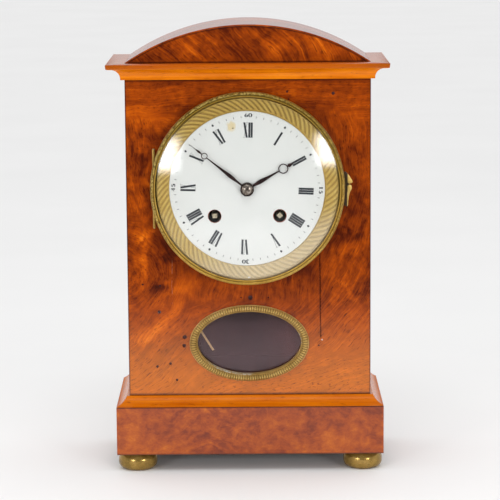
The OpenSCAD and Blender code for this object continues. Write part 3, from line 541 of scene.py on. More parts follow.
def fruitwood(name, along="x", seed=2.0, tone=1.0, dull=0.0):
    g = Mat(name)
    x, y, z = g.xyz()
    l, c = (x, y) if along == "x" else (y, x)
    streak = g.noise(g.vec(g.mul(l, 0.012), g.mul(c, 0.5), g.mul(z, 0.5)), 1.0, 4, 0.62)
    cloud = g.noise(g.vec(g.mul(l, 0.03), seed, g.mul(z, 0.12)), 1.0, 3, 0.6)
    grime_and_shade = g.noise(g.vec(g.mul(l, 0.10), seed + 4, g.mul(z, 0.5)), 1.0, 3, 0.6)
    f = g.add(g.mul(g.sub(streak, 0.5), 0.8), g.mul(g.sub(cloud, 0.5), 0.6), 0.50)
    colour = g.ramp(f, [(0.0, C(140, 66, 3)), (0.3, C(188, 94, 3)), (0.55, C(216, 118, 5)), (0.8, C(234, 140, 16)),
                        (1.0, C(246, 164, 44))])
    # darker fillet above the cornice's hollow, the plinth moulding darker all over, dirt along the mitres
    fillet = g.rng(z, 325.0, 325.8)
    low = g.rng(z, 100.0, 90.0)
    colour = g.mix(g.add(g.mul(fillet, 0.72), g.mul(low, 0.42)), colour, C(150, 62, 4))
    ends = g.rng(g.m("ABSOLUTE", x), 84.0, 112.0)
    dirt = g.add(g.rng(grime_and_shade, 0.58, 0.74), g.mul(g.mul(ends, fillet), 0.5))
    colour = g.mix(g.mul(dirt, 0.55), colour, C(96, 40, 8))
    pores = g.rng(g.noise(g.vec(g.mul(l, 0.22), g.mul(c, 1.4), g.mul(z, 1.4)), 1.0, 2, 0.6), 0.64, 0.74)
    colour = g.mix(g.mul(pores, 0.35), colour, C(96, 42, 8))
    # the varnish is worn off what faces forwards and lies thick on tops, undersides and ends
    geo = g.n("NewGeometry")
    sep = g.n("SeparateXYZ")
    g.put(sep.inputs[0], geo.outputs["Normal"])
    thick = g.add(0.15, g.mul(g.rng(sep.outputs[2], 0.90, 1.0), 0.85), g.mul(g.rng(g.m("ABSOLUTE", sep.outputs[0]), 0.3, 0.7), 0.85),
                  g.mul(g.rng(sep.outputs[2], -0.1, -0.4), 0.3))
    return g.finish(colour, 0.5, g.bump(streak, 0.12, 0.0002), Specular_IOR_Level=0.0, Coat_Weight=thick, Coat_Roughness=0.22,
                    Coat_IOR=1.5)


def plain_wood(name, along="z", tone=((70, 36, 18), (112, 62, 34), (140, 84, 48)), seed=5.0, inside=0.0, ends=False):
    """Straight-grained carcass wood for the back and the inside. inside: how dark the faces towards the dial are.
    ends: veneer on the faces that lie flush with the sides of the case."""
    g = Mat(name)
    p = dict(zip("xyz", g.xyz()))
    long = p.pop(along)
    a, b = p.values()
    grain = g.noise(g.vec(g.mul(long, 0.012), g.mul(a, 0.28), g.mul(b, 0.28)), 1.0, 5, 0.62, 0.4)
    pores = g.rng(g.noise(g.vec(g.mul(long, 0.16), g.mul(a, 1.6), g.mul(b, 1.6)), 1.0, 2, 0.6), 0.6, 0.72)
    colour = g.ramp(grain, [(0.25, C(*tone[0])), (0.5, C(*tone[1])), (0.75, C(*tone[2]))])
    colour = g.mix(g.mul(pores, 0.5), colour, C(44, 22, 12))
    if inside:
        geo = g.n("NewGeometry")
        sep = g.n("SeparateXYZ")
        g.put(sep.inputs[0], geo.outputs["Normal"])
        inner = g.rng(g.m("ABSOLUTE", g.xyz()[0]), 96.4, 95.6)
        colour = g.mix(g.mul(g.rng(sep.outputs[1], 0.6, -0.2), inside, inner), colour, C(26, 12, 12))
    if not ends:
        return g.finish(colour, 0.6, g.bump(g.sub(grain, pores), 0.3, 0.0002), IOR=1.45)
    x, y, z = g.xyz()
    broad, thin, dots = figure(g, y, z, (220.0, 150.0), 7.0, seed=9.0)
    f = g.add(broad, g.mul(g.sub(thin, 0.5), 0.55))
    skin = g.mul(g.rng(g.m("ABSOLUTE", x), 96.9, 97.2), g.rng(g.m("ABSOLUTE", sep.outputs[0]), 0.6, 0.8))
    veneer = g.mix(g.mul(g.rng(dots, 0.58, 0.67), 0.5), g.ramp(f, list(DEEP)), C(48, 16, 6))
    colour = g.mix(skin, colour, veneer)
    return g.finish(colour, 0.55, g.bump(g.sub(grain, pores), 0.2, 0.0002), IOR=1.45, Coat_Weight=skin, Coat_Roughness=0.14)


# -------------------------------------------------------------------- metals
def brass(name, tones, rough=0.34, scale=0.08, dirt=0.5, dirt_colour=(70, 50, 20), fine=0.25, metal=0.8, lo=0.5, hi=0.72,
          rise=None, grooves=None, groove=0.6, tint=None):
    """Old brass: clouded colour, dirt, roughness that changes with both. rise: (z0, z1, colour, amount) tints it
    upwards.
    grooves: a function that returns a 0..1 mask of hollows, darker by groove. tint: a function of the place and colour."""
    g = Mat(name)
    x, y, z = g.xyz()
    v = g.vec(x, y, z)
    n1 = g.noise(v, scale, 4, 0.6, 0.5)
    n2 = g.noise(v, scale * 9, 3, 0.65)
    colour = g.ramp(n1, [(0.25, C(*tones[0])), (0.5, C(*tones[1])), (0.78, C(*tones[2]))])
    if rise:
        colour = g.mix(g.mul(g.rng(z, rise[0], rise[1]), rise[3]), colour, C(*rise[2]))
    if grooves:
        hollow = grooves(g, x, y, z)
        colour = g.mix(g.mul(hollow, groove), colour, C(*dirt_colour))
    if tint:
        colour = tint(g, x, y, z, colour)
    d = g.rng(g.add(g.mul(n2, 0.6), g.mul(n1, 0.4)), lo, hi)
    colour = g.mix(g.mul(d, dirt), colour, C(*dirt_colour))
    rgh = g.add(rough, g.mul(g.sub(n2, 0.5), fine))
    return g.finish(colour, rgh, g.bump(n2, 0.12, 0.00008), Metallic=metal)


def steel(name, tones=((60, 58, 58), (120, 118, 116), (170, 166, 160)), rough=0.3):
    return brass(name, tones, rough, 0.25, 0.3, (70, 44, 26), 0.2, 0.9)


def flute_hollows(g, x, y, z):
    """Where the slanted flutes of the dial surround are deepest."""
    dx, dz = g.sub(x, SUR[0]), g.sub(z, SUR[1])
    r = g.m("SQRT", g.add(g.mul(dx, dx), g.mul(dz, dz)))
    ph = g.sub(g.mul(g.m("ARCTAN2", dz, dx), N_FLUTE), g.mul(g.sub(r, 62.6), TAU / 4.6))
    return g.mul(g.rng(g.m("COSINE", ph), 0.35, -0.85), g.rng(r, 62.6, 63.1), g.rng(r, 72.1, 71.6))


def knurl_hollows(g, x, y, z):
    """The pressed pattern on the outer roll of the rim, uneven with wear."""
    dx, dz = g.sub(x, RIM[0]), g.sub(z, RIM[1])
    r = g.m("SQRT", g.add(g.mul(dx, dx), g.mul(dz, dz)))
    u = g.mul(g.m("ARCTAN2", dz, dx), N_KNURL)
    t = g.m("ARCTAN2", g.m("DIVIDE", g.sub(y, YS - 9.1), 2.8), g.m("DIVIDE", g.sub(r, 75.7), 1.5))
    pattern = g.mul(g.m("COSINE", u), g.m("COSINE", g.mul(t, KNURL_ROWS)), 1.6)
    uneven = g.noise(g.vec(x, y, z), 0.62, 3, 0.75)
    worn = g.rng(z, 158.0, 200.0, 0.35, 1.0)
    on_roll = g.mul(g.rng(r, 74.4, 74.8), g.rng(y, YS - 6.2, YS - 7.0))
    hollow = g.mul(g.rng(g.add(pattern, g.mul(g.sub(uneven, 0.5), 11.0)), 0.5, -0.9), on_roll, worn)
    groove = g.mul(g.rng(r, 74.75, 74.5), g.rng(r, 74.1, 74.3))
    return g.m("MAXIMUM", hollow, groove)


def gadroon_hollows(g, x, y, z):
    at = g.n("Attribute", attribute_type="GEOMETRY", attribute_name="hollow")
    return at.outputs["Fac"]


N_FLUTE, N_KNURL, KNURL_ROWS = 87, 190, 7.0
M_FRONT = front_veneer()


def tympanum_shade_lines(g, x, z):
    """Painted shade along the foot of the arch and under its roof."""
    zz = g.sub(z, PEDI_Z)
    r = g.m("SQRT", g.add(g.mul(x, x), g.mul(zz, zz)))
    return g.m("MAXIMUM", g.rng(z, Z_PEDI + 1.6, Z_PEDI + 0.3), g.rng(r, PEDI_R - 2.6, PEDI_R - 1.4))


RISE, ARCH_HALF = 29.9, HW + 0.3
PEDI_R = (ARCH_HALF ** 2 + RISE ** 2) / (2 * RISE)
PEDI_Z = Z_PEDI + RISE - PEDI_R
M_TYMP = mahogany("pediment_veneer", centre=(-250.0, 110.0), seed=4.0, across=6.0, mean=300.0, shift=-0.07, edge=tympanum_shade_lines, spots=(
    (-60, 338, 34, 9, -38, 0.14), (-30, 340, 20, 8, -38, -0.16), (22, 340, 24, 12, 30, 0.16), (-75, 333, 22, 6, 0, -0.10),
    (66, 338, 20, 6, 0, 0.10), (0, 357, 60, 5, 0, -0.20)), depth=(1.1, 0.6, 0.4, 0.6))
M_SIDE_L = mahogany("left_side_veneer", plane="yz", centre=(-220.0, 120.0), seed=7.0)
M_SIDE_R = mahogany("right_side_veneer", plane="yz", centre=(220.0, 150.0), seed=9.0)
M_ROOF = mahogany("roof_veneer", plane="xy", centre=(-60.0, -400.0), seed=12.0, coat_rough=0.2)
M_TOP = mahogany("top_veneer", plane="xy", centre=(30.0, -500.0), seed=13.0, coat_rough=0.2)
M_PLINTH = burl("plinth_veneer")
M_PLINTH_S = burl("plinth_side_veneer", 6.0, "yz")
M_FRUIT = fruitwood("fruitwood_front")
M_FRUIT_S = fruitwood("fruitwood_side", "y", 8.0)
M_CASE = plain_wood("carcass_wood")
M_FRAME = plain_wood("frame_wood", inside=0.8, ends=True)
M_CASE_X = plain_wood("carcass_wood_across", "x", seed=6.0)
M_DUSK = plain_wood("shaded_wood", "x", ((24, 12, 9), (38, 20, 14), (52, 28, 20)), 11.0)
M_DOOR = plain_wood("door_wood", "z", ((84, 42, 20), (128, 70, 36), (158, 96, 54)), 8.0, 0.85)
M_FEET = brass("feet_brass", ((112, 88, 40), (158, 126, 60), (186, 152, 86)), 0.24, 0.09, 0.5, (66, 52, 20), metal=0.6)
def rim_tint(g, x, y, z, colour):
    """Painted glints and dark pits of the pressed pattern, strongest at the upper left."""
    dx, dz = g.sub(x, RIM[0]), g.sub(z, RIM[1])
    r = g.m("SQRT", g.add(g.mul(dx, dx), g.mul(dz, dz)))
    n = g.noise(g.vec(x, y, z), 0.72, 2, 0.6)
    here = g.mul(g.rng(r, 74.5, 75.0), g.rng(y, YS - 6.2, YS - 7.0), g.rng(z, 165.0, 225.0, 0.12, 1.0), g.rng(dx, 50.0, -10.0, 0.4, 1.0))
    colour = g.mix(g.mul(g.rng(n, 0.51, 0.58), here, 0.7), colour, C(186, 168, 98))
    return g.mix(g.mul(g.rng(n, 0.48, 0.41), here, 0.75), colour, C(50, 36, 10))


M_RIM = brass("rim_brass", ((156, 118, 40), (190, 150, 60), (214, 178, 90)), 0.40, 0.06, 0.4, (62, 46, 12), metal=0.45,
              rise=(170.0, 300.0, (144, 114, 24), 0.85), grooves=knurl_hollows, groove=0.7, tint=rim_tint)
M_LEAF = brass("hinge_brass", ((150, 116, 50), (186, 150, 74), (206, 174, 100)), 0.42, 0.06, 0.5, (92, 68, 22), metal=0.5)


def putty(g, x, y, z, colour):
    """Broken white putty along the inner lip of the window ring."""
    dx, dz = g.sub(x, WIN[0]), g.sub(z, WIN[1])
    a, b = g.mul(dx, 1 / 41.9), g.mul(dz, 1 / 25.9)
    inner = g.rng(g.m("SQRT", g.add(g.mul(a, a), g.mul(b, b))), 1.014, 1.0)
    low = g.mul(g.rng(dz, -13.0, -19.0), g.rng(dx, 5.0, -2.0))
    side = g.mul(g.rng(dx, 36.0, 39.0), g.rng(g.m("ABSOLUTE", g.sub(dz, 3.0)), 7.0, 4.0), 0.8)
    n = g.noise(g.vec(x, y, z), 0.55, 3, 0.7)
    return g.mix(g.mul(inner, g.m("MAXIMUM", low, side), g.rng(n, 0.47, 0.56)), colour, C(224, 222, 208))


def tab_tint(g, x, y, z, colour):
    """Bright at its outer edge; darker next to the rim, painted shade with old polish."""
    dx, dz = g.sub(x, RIM[0]), g.sub(z, RIM[1])
    edge = g.add(dx, g.mul(g.rng(dz, -3.0, -5.0), 0.35), g.mul(g.rng(g.m("ABSOLUTE", g.sub(dz, 2.4)), 1.6, 0.2), -1.2))
    return g.mix(g.rng(edge, 79.8, 79.2), colour, C(58, 44, 22))


M_TAB = brass("tab_brass", ((176, 142, 66), (204, 168, 86), (224, 192, 114)), 0.38, 0.2, 0.25, (110, 80, 30), metal=0.5, tint=tab_tint)


def surround_tint(g, x, y, z, colour):
    """Darker and yellower towards the top, with darker flute hollows there; a pale painted reflection at the lower
    right and along the lower border; a small white painted highlight low on the border.
    """
    top = g.rng(z, 250.0, 296.0)
    colour = g.mix(g.mul(top, 0.45), colour, C(184, 148, 52))
    side = g.add(g.mul(g.sub(x, SUR[0]), 0.3), g.mul(g.sub(SUR[1], z), 0.95))
    # pale painted reflection at the lower right and along the lower border
    pale_reflection = g.rng(side, 26.0, 66.0)
    colour = g.mix(g.mul(pale_reflection, 0.6), colour, C(226, 211, 183))
    colour = g.mix(g.mul(flute_hollows(g, x, y, z), g.add(g.mul(top, 0.36), 0.10)), colour, C(92, 68, 24))
    # a small white painted highlight low on the border
    return g.mix(g.blob(x, z, SUR[0] + 0.8, SUR[1] - 71.1, 1.5, 0.75, 0.0, 0.6), colour, C(254, 252, 248))


M_RING = brass("surround_brass", ((200, 166, 82), (214, 182, 98), (222, 198, 120)), 0.46, 0.05, 0.2, (138, 104, 42), metal=0.25,
               grooves=flute_hollows, groove=0.42, tint=surround_tint)
M_WIN = brass("window_ring_brass", ((158, 126, 64), (192, 158, 88), (214, 182, 116)), 0.42, 0.10, 0.4, (90, 68, 28), metal=0.5,
              grooves=gadroon_hollows, tint=putty)
M_BRASS = brass("movement_brass", ((150, 118, 58), (186, 152, 84), (208, 178, 112)), 0.34, 0.12, 0.25, metal=0.9)
M_BELL = brass("bell_metal", ((140, 108, 60), (170, 136, 84), (196, 162, 108)), 0.28, 0.06, 0.3, metal=0.9)
M_STEEL = steel("steel")
M_BLUED = steel("blued_steel", ((44, 32, 33), (66, 50, 50), (92, 70, 66)), 0.4)
M_ARBOR = brass("winding_steel", ((170, 160, 132), (196, 186, 158), (220, 212, 188)), 0.4, 0.5, 0.25, (110, 92, 66), 0.2, 0.15)
# pale, almost white brass, so that the holdfast strip shows bright inside the case: painted light
M_STRIP = brass("holdfast_brass", ((204, 182, 112), (232, 214, 142), (246, 234, 172)), 0.45, 0.3, 0.25, (124, 100, 50), metal=0.2)


def collet_tint(g, x, y, z, colour):
    dx, dz = g.sub(x, MOVE[0]), g.sub(z, MOVE[1])
    r = g.m("SQRT", g.add(g.mul(dx, dx), g.mul(dz, dz)))
    return g.mix(g.mul(g.rng(r, 3.7, 4.5), 0.85), colour, C(52, 36, 34))


M_COLLET = brass("collet_steel", ((92, 80, 72), (146, 134, 124), (214, 206, 196)), 0.26, 0.35, 0.4, (70, 50, 40), 0.2, 0.75, tint=collet_tint)
M_PLATE = brass("plate_brass", ((58, 50, 34), (80, 70, 48), (104, 92, 66)), 0.45, 0.12, 0.4, (30, 24, 16), metal=0.8)


def enamel_material():
    g = Mat("enamel")
    x, y, z = g.xyz()
    n = g.noise(g.vec(x, y, z), 0.05, 3, 0.5)
    base = g.ramp(n, [(0.3, C(229, 232, 229)), (0.7, C(234, 236, 233))])
    # painted shade: the enamel darkens towards the top
    base = g.mix(g.mul(g.rng(z, 195.0, 275.0), 0.6), base, C(219, 222, 218))
    # an old yellow stain beside the XII, with a dark speck
    wob = g.sub(g.noise(g.vec(x, 0.0, z), 0.35, 3, 0.6), 0.5)
    d = g.m("SQRT", g.add(g.m("POWER", g.m("DIVIDE", g.sub(x, -13.3), 3.8), 2.0),
                          g.m("POWER", g.m("DIVIDE", g.sub(z, 279.0), 4.4), 2.0)))
    stain = g.rng(g.add(d, g.mul(wob, 1.1)), 1.15, 0.5)
    base = g.mix(g.mul(stain, 0.72), base, C(222, 200, 138))
    speck = g.blob(g.add(x, g.mul(wob, 1.5)), z, -12.0, 277.6, 0.8, 0.8, 0.0, 0.6)
    base = g.mix(g.mul(speck, 0.8), base, C(96, 84, 62))
    return g.finish(base, 0.22, g.bump(n, 0.05, 0.0004), Coat_Weight=0.3, Coat_Roughness=0.06, IOR=1.5)


def paint_material():
    g = Mat("dial_paint")
    x, y, z = g.xyz()
    n = g.noise(g.vec(x, y, z), 1.2, 3, 0.6)
    return g.finish(g.ramp(n, [(0.3, C(34, 38, 44)), (0.7, C(60, 64, 70))]), 0.35)


def glass_material(name, tint=(1, 1, 1, 1), rough=0.0, haze=0.0, haze_colour=(0.5, 0.45, 0.45, 1), shine=(1, 1, 1, 1)):
    g = Mat(name)
    clear = g.n("BsdfTransparent")
    clear.inputs[0].default_value = tint
    gloss = g.n("BsdfGlossy")
    gloss.inputs["Color"].default_value = shine
    gloss.inputs["Roughness"].default_value = rough
    lw = g.n("LayerWeight")
    lw.inputs["Blend"].default_value = 0.5
    share = g.add(g.mul(g.m("POWER", lw.outputs["Facing"], 5.0), 0.96), 0.04)
    mixer = g.n("MixShader")
    g.put(mixer.inputs[0], share)
    g.put(mixer.inputs[1], clear.outputs[0])
    g.put(mixer.inputs[2], gloss.outputs[0])
    last = mixer
    # a thin diffuse layer of dust and painted reflection, thinner towards the top so that the window's top band is
    # darker: painted shade
    if haze:
        dust_and_reflection = g.n("BsdfDiffuse")
        x, y, z = g.xyz()
        n = g.mul(g.noise(g.vec(x, y, z), 0.09, 3, 0.6), g.rng(z, WIN[1] + 25.0, WIN[1] + 13.0, 0.2, 1.0))
        g.put(dust_and_reflection.inputs[0], g.mix(g.rng(x, 8.0, 38.0), haze_colour, (0.74, 0.29, 0.32, 1)))
        last = g.n("MixShader")
        g.put(last.inputs[0], g.mul(n, haze * 2))
        g.put(last.inputs[1], mixer.outputs[0])
        g.put(last.inputs[2], dust_and_reflection.outputs[0])
    out = g.n("OutputMaterial")
    g.put(out.inputs[0], last.outputs[0])
    return g.mat


M_ENAMEL = enamel_material()
M_PAINT = paint_material()
M_GLASS = glass_material("dial_glass", (0.97, 0.97, 0.97, 1), 0.07, shine=(0.82, 0.83, 0.84, 1))
M_PANE = glass_material("window_pane", (0.92, 0.88, 0.895, 1), 0.05, 0.028, (0.5, 0.27, 0.31, 1), (1.0, 0.80, 0.83, 1))

# ------------------------------------------------------------------------ case
def board(name, node, x0, x1, y0, y1, z0, z1, mat, size=0.35, cut=()):
    me = mesh(*box(x0, x1, y0, y1, z0, z1))
    me = bevelled(me, size)
    if cut:
        me = carve(me, cut, 18)
    return link(name, me, "case", mat, (node,))


def oval(a, b, n=96, cx=WIN[0], cz=WIN[1]):
    return [(cx + a * math.cos(TAU * i / n), cz + b * math.sin(TAU * i / n)) for i in range(n)]


def crack(points, width, depth, taper=True):
    """A narrow V-shaped groove along a line of (x, z) points, opened towards the front."""
    rings = []
    for i, (x, z) in enumerate(points):
        k = 0.25 if taper and i in (0, len(points) - 1) else 1.0
        rings.append([w(x - width / 2 * k, -0.6, z), w(x + width / 2 * k, -0.6, z), w(x + width * 0.2 * k, depth * k, z),
                      w(x - width * 0.2 * k, depth * k, z)])
    return loft(rings)


def pit(x, z, r, depth, seed):
    rnd = random.Random(seed)
    k = [0.7 + 0.5 * rnd.random() for _ in range(9)]
    rings = []
    for y, s in ((-0.5, 1.05), (0.0, 1.0), (depth * 0.6, 0.8), (depth, 0.4)):
        rings.append([w(x + r * s * k[i] * math.cos(TAU * i / 9), y, z + r * s * k[i] * math.sin(TAU * i / 9))
                      for i in range(9)])
    return loft(rings)


rnd = random.Random(3)
crack_pts = []
for i in range(27):
    t = i / 26
    crack_pts.append((56.2 + 1.3 * t + 0.22 * math.sin(5 * t + 0.6) + 0.09 * (rnd.random() - 0.5), 182.0 - 75.6 * t))
crack2 = [(54.6, 72), (54.8, 68.5), (54.4, 65), (54.7, 61)]
front_cut = [prism(circle(66.0, 128, *SUR), -2, 14), prism(oval(43.3, 26.9), -2, 14), crack(crack_pts, 1.05, 1.9),
             crack(crack2, 0.3, 0.6)]
front_cut += [pit(x, z, r, 0.5, i) for i, (x, z, r) in enumerate(MARKS)]
ob = board("front_panel_veneered", "front_panel", -HW, HW, 0, 12, Z_PLINTH, Z_TOP, [M_FRONT, M_SIDE_L, M_SIDE_R, M_CASE],
           0.35, front_cut)
for f in ob.data.polygons:
    if f.normal.y > 0.7:
        f.material_index = 3
    elif abs(f.normal.x) > 0.8 and abs(f.center.x) > HW / 1000 - 0.0004:
        f.material_index = 1 if f.center.x < 0 else 2
for name, node, x0, mat in (("side_left_veneered", "side_panel_left", -HW, M_SIDE_L), ("side_right_veneered", "side_panel_right", HW - 10, M_SIDE_R)):
    ob = board(name, node, x0, x0 + 10, 12, BODY_D - 12, Z_PLINTH, Z_TOP, [mat, M_CASE], 0.2)
    for f in ob.data.polygons:
        if f.normal.x * ob.data.vertices[0].co.x < 0 and abs(f.normal.x) > 0.7:
            f.material_index = 1
ob = board("top_board_veneered", "top_board", -HW, HW, 0.0, BODY_D, Z_TOP, Z_PEDI, [M_TOP, M_CASE_X], 0.2)
for f in ob.data.polygons:
    if f.normal.y > 0.7 or f.normal.z < -0.7:
        f.material_index = 1

# plinth: front board and returns mitred, as one hollow box
PW = HW + OVER
FOOT_X, FOOT_Y = PW - 16.2, (-OVER + 16.2, BODY_D - 16.2)
pl = bevelled(mesh(*box(-PW, PW, -OVER, BODY_D, Z_FEET, Z_PLINTH)), 0.45)
cuts = [box(-PW + 22, PW - 22, -OVER + 22, BODY_D - 22, Z_FEET - 1, Z_PLINTH + 1)]
for sx in (-1, 1):
    for fy in FOOT_Y:
        cuts.append(turn_z([(0, Z_FEET - 1), (3.05, Z_FEET - 1), (3.05, Z_FEET + 15.5), (0, Z_FEET + 15.5)], sx * FOOT_X, fy, 32))
pl = carve(pl, cuts, 18)
ob = link("plinth_veneered", pl, "case", [M_PLINTH, M_PLINTH_S, M_CASE], ("plinth",))
for f in pl.polygons:
    c = f.center
    if abs(abs(c.x) - PW / 1000) < 0.0006:
        f.material_index = 1
    elif f.normal.z < -0.7 or (abs(c.x) < PW / 1000 - 0.001 and (-OVER + YS) / 1000 + 0.001 < c.y):
        f.material_index = 2


def moulding(name, node, profile, z0, mats):
    """Front strip and two returns, cut at 45 degrees and butted with a hairline joint."""
    gap = 0.06
    front = [[w(s * (HW + o) - s * gap, -o, z0 + h) for o, h in profile] for s in (-1, 1)]
    parts = [loft(front)]
    sides = []
    for s in (-1, 1):
        sides.append(loft([[w(s * (HW + o), -o + gap * 1.4, z0 + h) for o, h in profile],
                           [w(s * (HW + o), BODY_D, z0 + h) for o, h in profile]]))
    me = bevelled(join(parts), 0.12, 1, 50, 28)
    link(name, me, "case", mats[0], (node,))
    me = bevelled(join(sides), 0.12, 1, 50, 28)
    link(name + "_returns", me, "case", mats[1])


cove = [(0, 0), (9.9, 0), (10.2, 0.2)]
cx, cz, cr = 16.26, 14.98, 16.0
for i in range(15):
    z = 0.3 + (7.8 - 0.3) * i / 14
    cove.append((cx - math.sqrt(cr * cr - (cz - z) ** 2), z))
cove += [(0, 7.8)]
moulding("plinth_cove", "plinth_moulding", cove, Z_PLINTH, (M_FRUIT, M_FRUIT_S))
corn = [(0, 0), (3.2, 0), (3.2, 0.75)]
for i in range(17):
    a = math.radians(180 - 90 * i / 16)
    corn.append((11.0 + 7.8 * math.cos(a), 0.8 + 7.8 * math.sin(a)))
corn += [(13.2, 8.9), (13.8, 9.15), (14.05, 9.6), (14.4, 12.35), (14.2, 12.6), (0, 12.6)]
moulding("cornice_moulding", "cornice", corn, Z_TOP, (M_FRUIT, M_FRUIT_S))

# arched pediment: front and back segments under a thin curved roof
ARCH_R, ARCH_Z = PEDI_R, PEDI_Z


def segment(r, n=96):
    half = math.acos((Z_PEDI - ARCH_Z) / r)
    return [(r * math.sin(half - 2 * half * i / n), ARCH_Z + r * math.cos(half - 2 * half * i / n)) for i in range(n + 1)]


seg = segment(ARCH_R - 1.2)
tym = bevelled(mesh(*prism(seg, 7.0, 19.0), 20), 0.15, 1, 50, 20)
chip = [[w(70.3 + dx, 6.2, 341.2 + dz), w(72.6 + dx, 6.2, 340.7 + dz), w(73.2 + dx, 7.5, 340.3 + dz), w(70.8 + dx, 7.5, 340.9 + dz)]
        for dx, dz in ((0, 0), (0.4, 1.2))]
tym = carve(tym, [loft(chip)], 20)
link("tympanum_veneered", tym, "case", M_TYMP, ("tympanum",))
link("pediment_back_board", bevelled(mesh(*prism(seg, BODY_D - 12, BODY_D), 20), 0.15, 1, 50, 20), "case", M_CASE_X,
     ("pediment_back",))
outer, inner = segment(ARCH_R, 96), segment(ARCH_R - 1.2, 96)
roof = prism(outer + inner[::-1], 7.0, BODY_D)
link("roof_veneered", bevelled(mesh(*roof, 20), 0.2, 2, 50, 20), "case", M_ROOF, ("pediment_roof",))

# ------------------------------------------------------------------------ feet
foot = [(0, 14), (11.2, 14), (11.6, 13.9)]
for i in range(33):
    fz = 7.15 + 6.65 * math.cos(math.pi * i / 32)
    k = abs(fz - 6.4) / (8.0 if fz < 6.4 else 9.6)
    foot.append((15.75 * (1 - k ** 2.6) ** (1 / 2.6), fz))
foot += [(12.2, 0.25), (11.6, 0.0), (0, 0)]
foot = foot[::-1]
for name, node, fy in (("front_feet_turned", "front_feet", FOOT_Y[0]), ("back_feet_turned", "back_feet", FOOT_Y[1])):
    parts = []
    for s in (-1, 1):
        parts.append(turn_z(foot, s * FOOT_X, fy))
        parts.append(turn_z([(0, 13.5), (3, 13.5), (3, 29), (0, 29)], s * FOOT_X, fy, 32))
    link(name, join(parts, 30), "case", M_FEET, (node,))

# -------------------------------------------------------- surround and bezel


def flute(j, r, y, a):
    """Slanted flutes, cut by fine cross lines, on the cone between the dial and the rim."""
    if y > -2.0 or not 62.7 < r < 72.0:
        return r, y
    k = (0.5 + 0.5 * math.cos(N_FLUTE * a - TAU * (r - 62.6) / 4.6)) ** 0.8
    low = min(1.0, (r - 62.6) * 1.6, (72.1 - r) * 2.0)
    high = max(0.0, min(1.0, (r - 62.6) * 1.6, (69.9 - r) * 1.2))
    d = 0.34 * k * high - 0.5 * (1 - k) * low + 0.04 * math.cos(2.6 * (r - 62.6) * TAU / 1.3 + 40 * a) * high
    return r - d * 0.54, y - d * 0.84


cone = [(62.6, -2.2)]
for i in range(1, 26):
    t = i / 26
    cone.append((62.6 + 7.4 * t, -2.2 - 4.8 * t))
sur = [(60, 0), (60, -1.2), (62.4, -1.2), (62.6, -1.4)] + cone + [(70.0, -7.0)] + [(70.3 + 0.2 * i, -7.15) for i in range(9)] + [(72.15, -7.0),
      (72.2, -6.8), (72.2, -1.35), (72.35, -1.2), (75.4, -1.2), (75.6, -1.0), (75.6, 0), (65.5, 0), (65.5, 8), (64, 8), (64, 0)]
parts = [turn(sur, SUR, N_FLUTE * 12, flute)]
BH = (RIM[0] - 74.3, -5.0)
KN, PK = 12.3, 12.7


def knuckle_z(i):
    return RIM[1] + (i - 2) * PK - KN / 2


def knuckle(x, y, z0, z1, r, n=24):
    return turn_z([(0, z0), (r - 0.15, z0), (r, z0 + 0.15), (r, z1 - 0.15), (r - 0.15, z1), (0, z1)], x, y, n)


link("surround_engine_turned", join(parts, 40), "case", M_RING, ("dial_surround",))
# the bosses, hinge leaf and fixed knuckles of the surround
lz0, lz1 = knuckle_z(0), knuckle_z(0) + 5 * PK - 0.4
leaf = [(BH[0] - 1.1, lz0), (BH[0] + 0.9, lz0), (BH[0] + 0.9, RIM[1] - 22), (BH[0] + 10.9, RIM[1] - 18), (BH[0] + 10.9, RIM[1] + 18),
        (BH[0] + 0.9, RIM[1] + 22), (BH[0] + 0.9, lz1), (BH[0] - 1.1, lz1)]
me = bevelled(join([prism(leaf, -1.2, -0.1)]), 0.2)
link("bezel_hinge_leaf", me, "case", M_LEAF)
extra = []
for i in (0, 2, 4):
    extra.append(box(BH[0] - 0.6, BH[0] + 0.6, -5.0, -1.0, knuckle_z(i), knuckle_z(i) + KN))
    extra.append(knuckle(BH[0], BH[1], knuckle_z(i), knuckle_z(i) + KN, 1.1))
for a in (45, 135, 225, 315):
    px, pz = MOVE[0] + 61 * math.cos(math.radians(a)), MOVE[1] + 61 * math.sin(math.radians(a))
    extra.append(turn([(0, -0.6), (2.6, -0.6), (2.6, 11), (0, 11)], (px, pz), 32, None, True))
link("bezel_hinge_knuckles", join(extra), "case", M_LEAF)

def knurl(j, r, y, a):
    """Small lozenges pressed into the outer roll of the rim, worn away towards the bottom."""
    if not band0 < j < band1:
        return r, y
    t = (j - band0) / (band1 - band0)
    edge = min(1.0, t * 5, (1 - t) * 5)
    worn = 0.35 + 0.65 * min(1.0, max(0.0, (math.sin(a) + 0.75) / 0.5))
    tilt = math.radians(60 - 200 * t)
    d = 0.15 * edge * worn * (math.cos(N_KNURL * a) * math.cos(KNURL_ROWS * tilt) - 0.5)
    return r + d * math.cos(tilt), y + d * math.sin(tilt)


rim = [(74.3, -2.4), (75.5, -2.4), (75.7, -2.6), (75.8, -6.3)]
band0 = len(rim)
NB = 30
for i in range(NB + 1):
    a = math.radians(60 - 200 * i / NB)
    rim.append((75.7 + 1.5 * math.cos(a), -9.1 + 2.8 * math.sin(a)))
band1 = len(rim) - 1
rim += [(74.38, -10.82)]
for i in range(12):
    a = math.radians(-25 - 155 * i / 11)
    rim.append((73.75 + 0.52 * math.cos(a), -11.0 + 0.7 * math.sin(a)))
rim += [(73.2, -10.4), (74.3, -10.4)]
parts = [turn(rim, RIM, N_KNURL * 10, knurl)]
me = join(parts, 50)
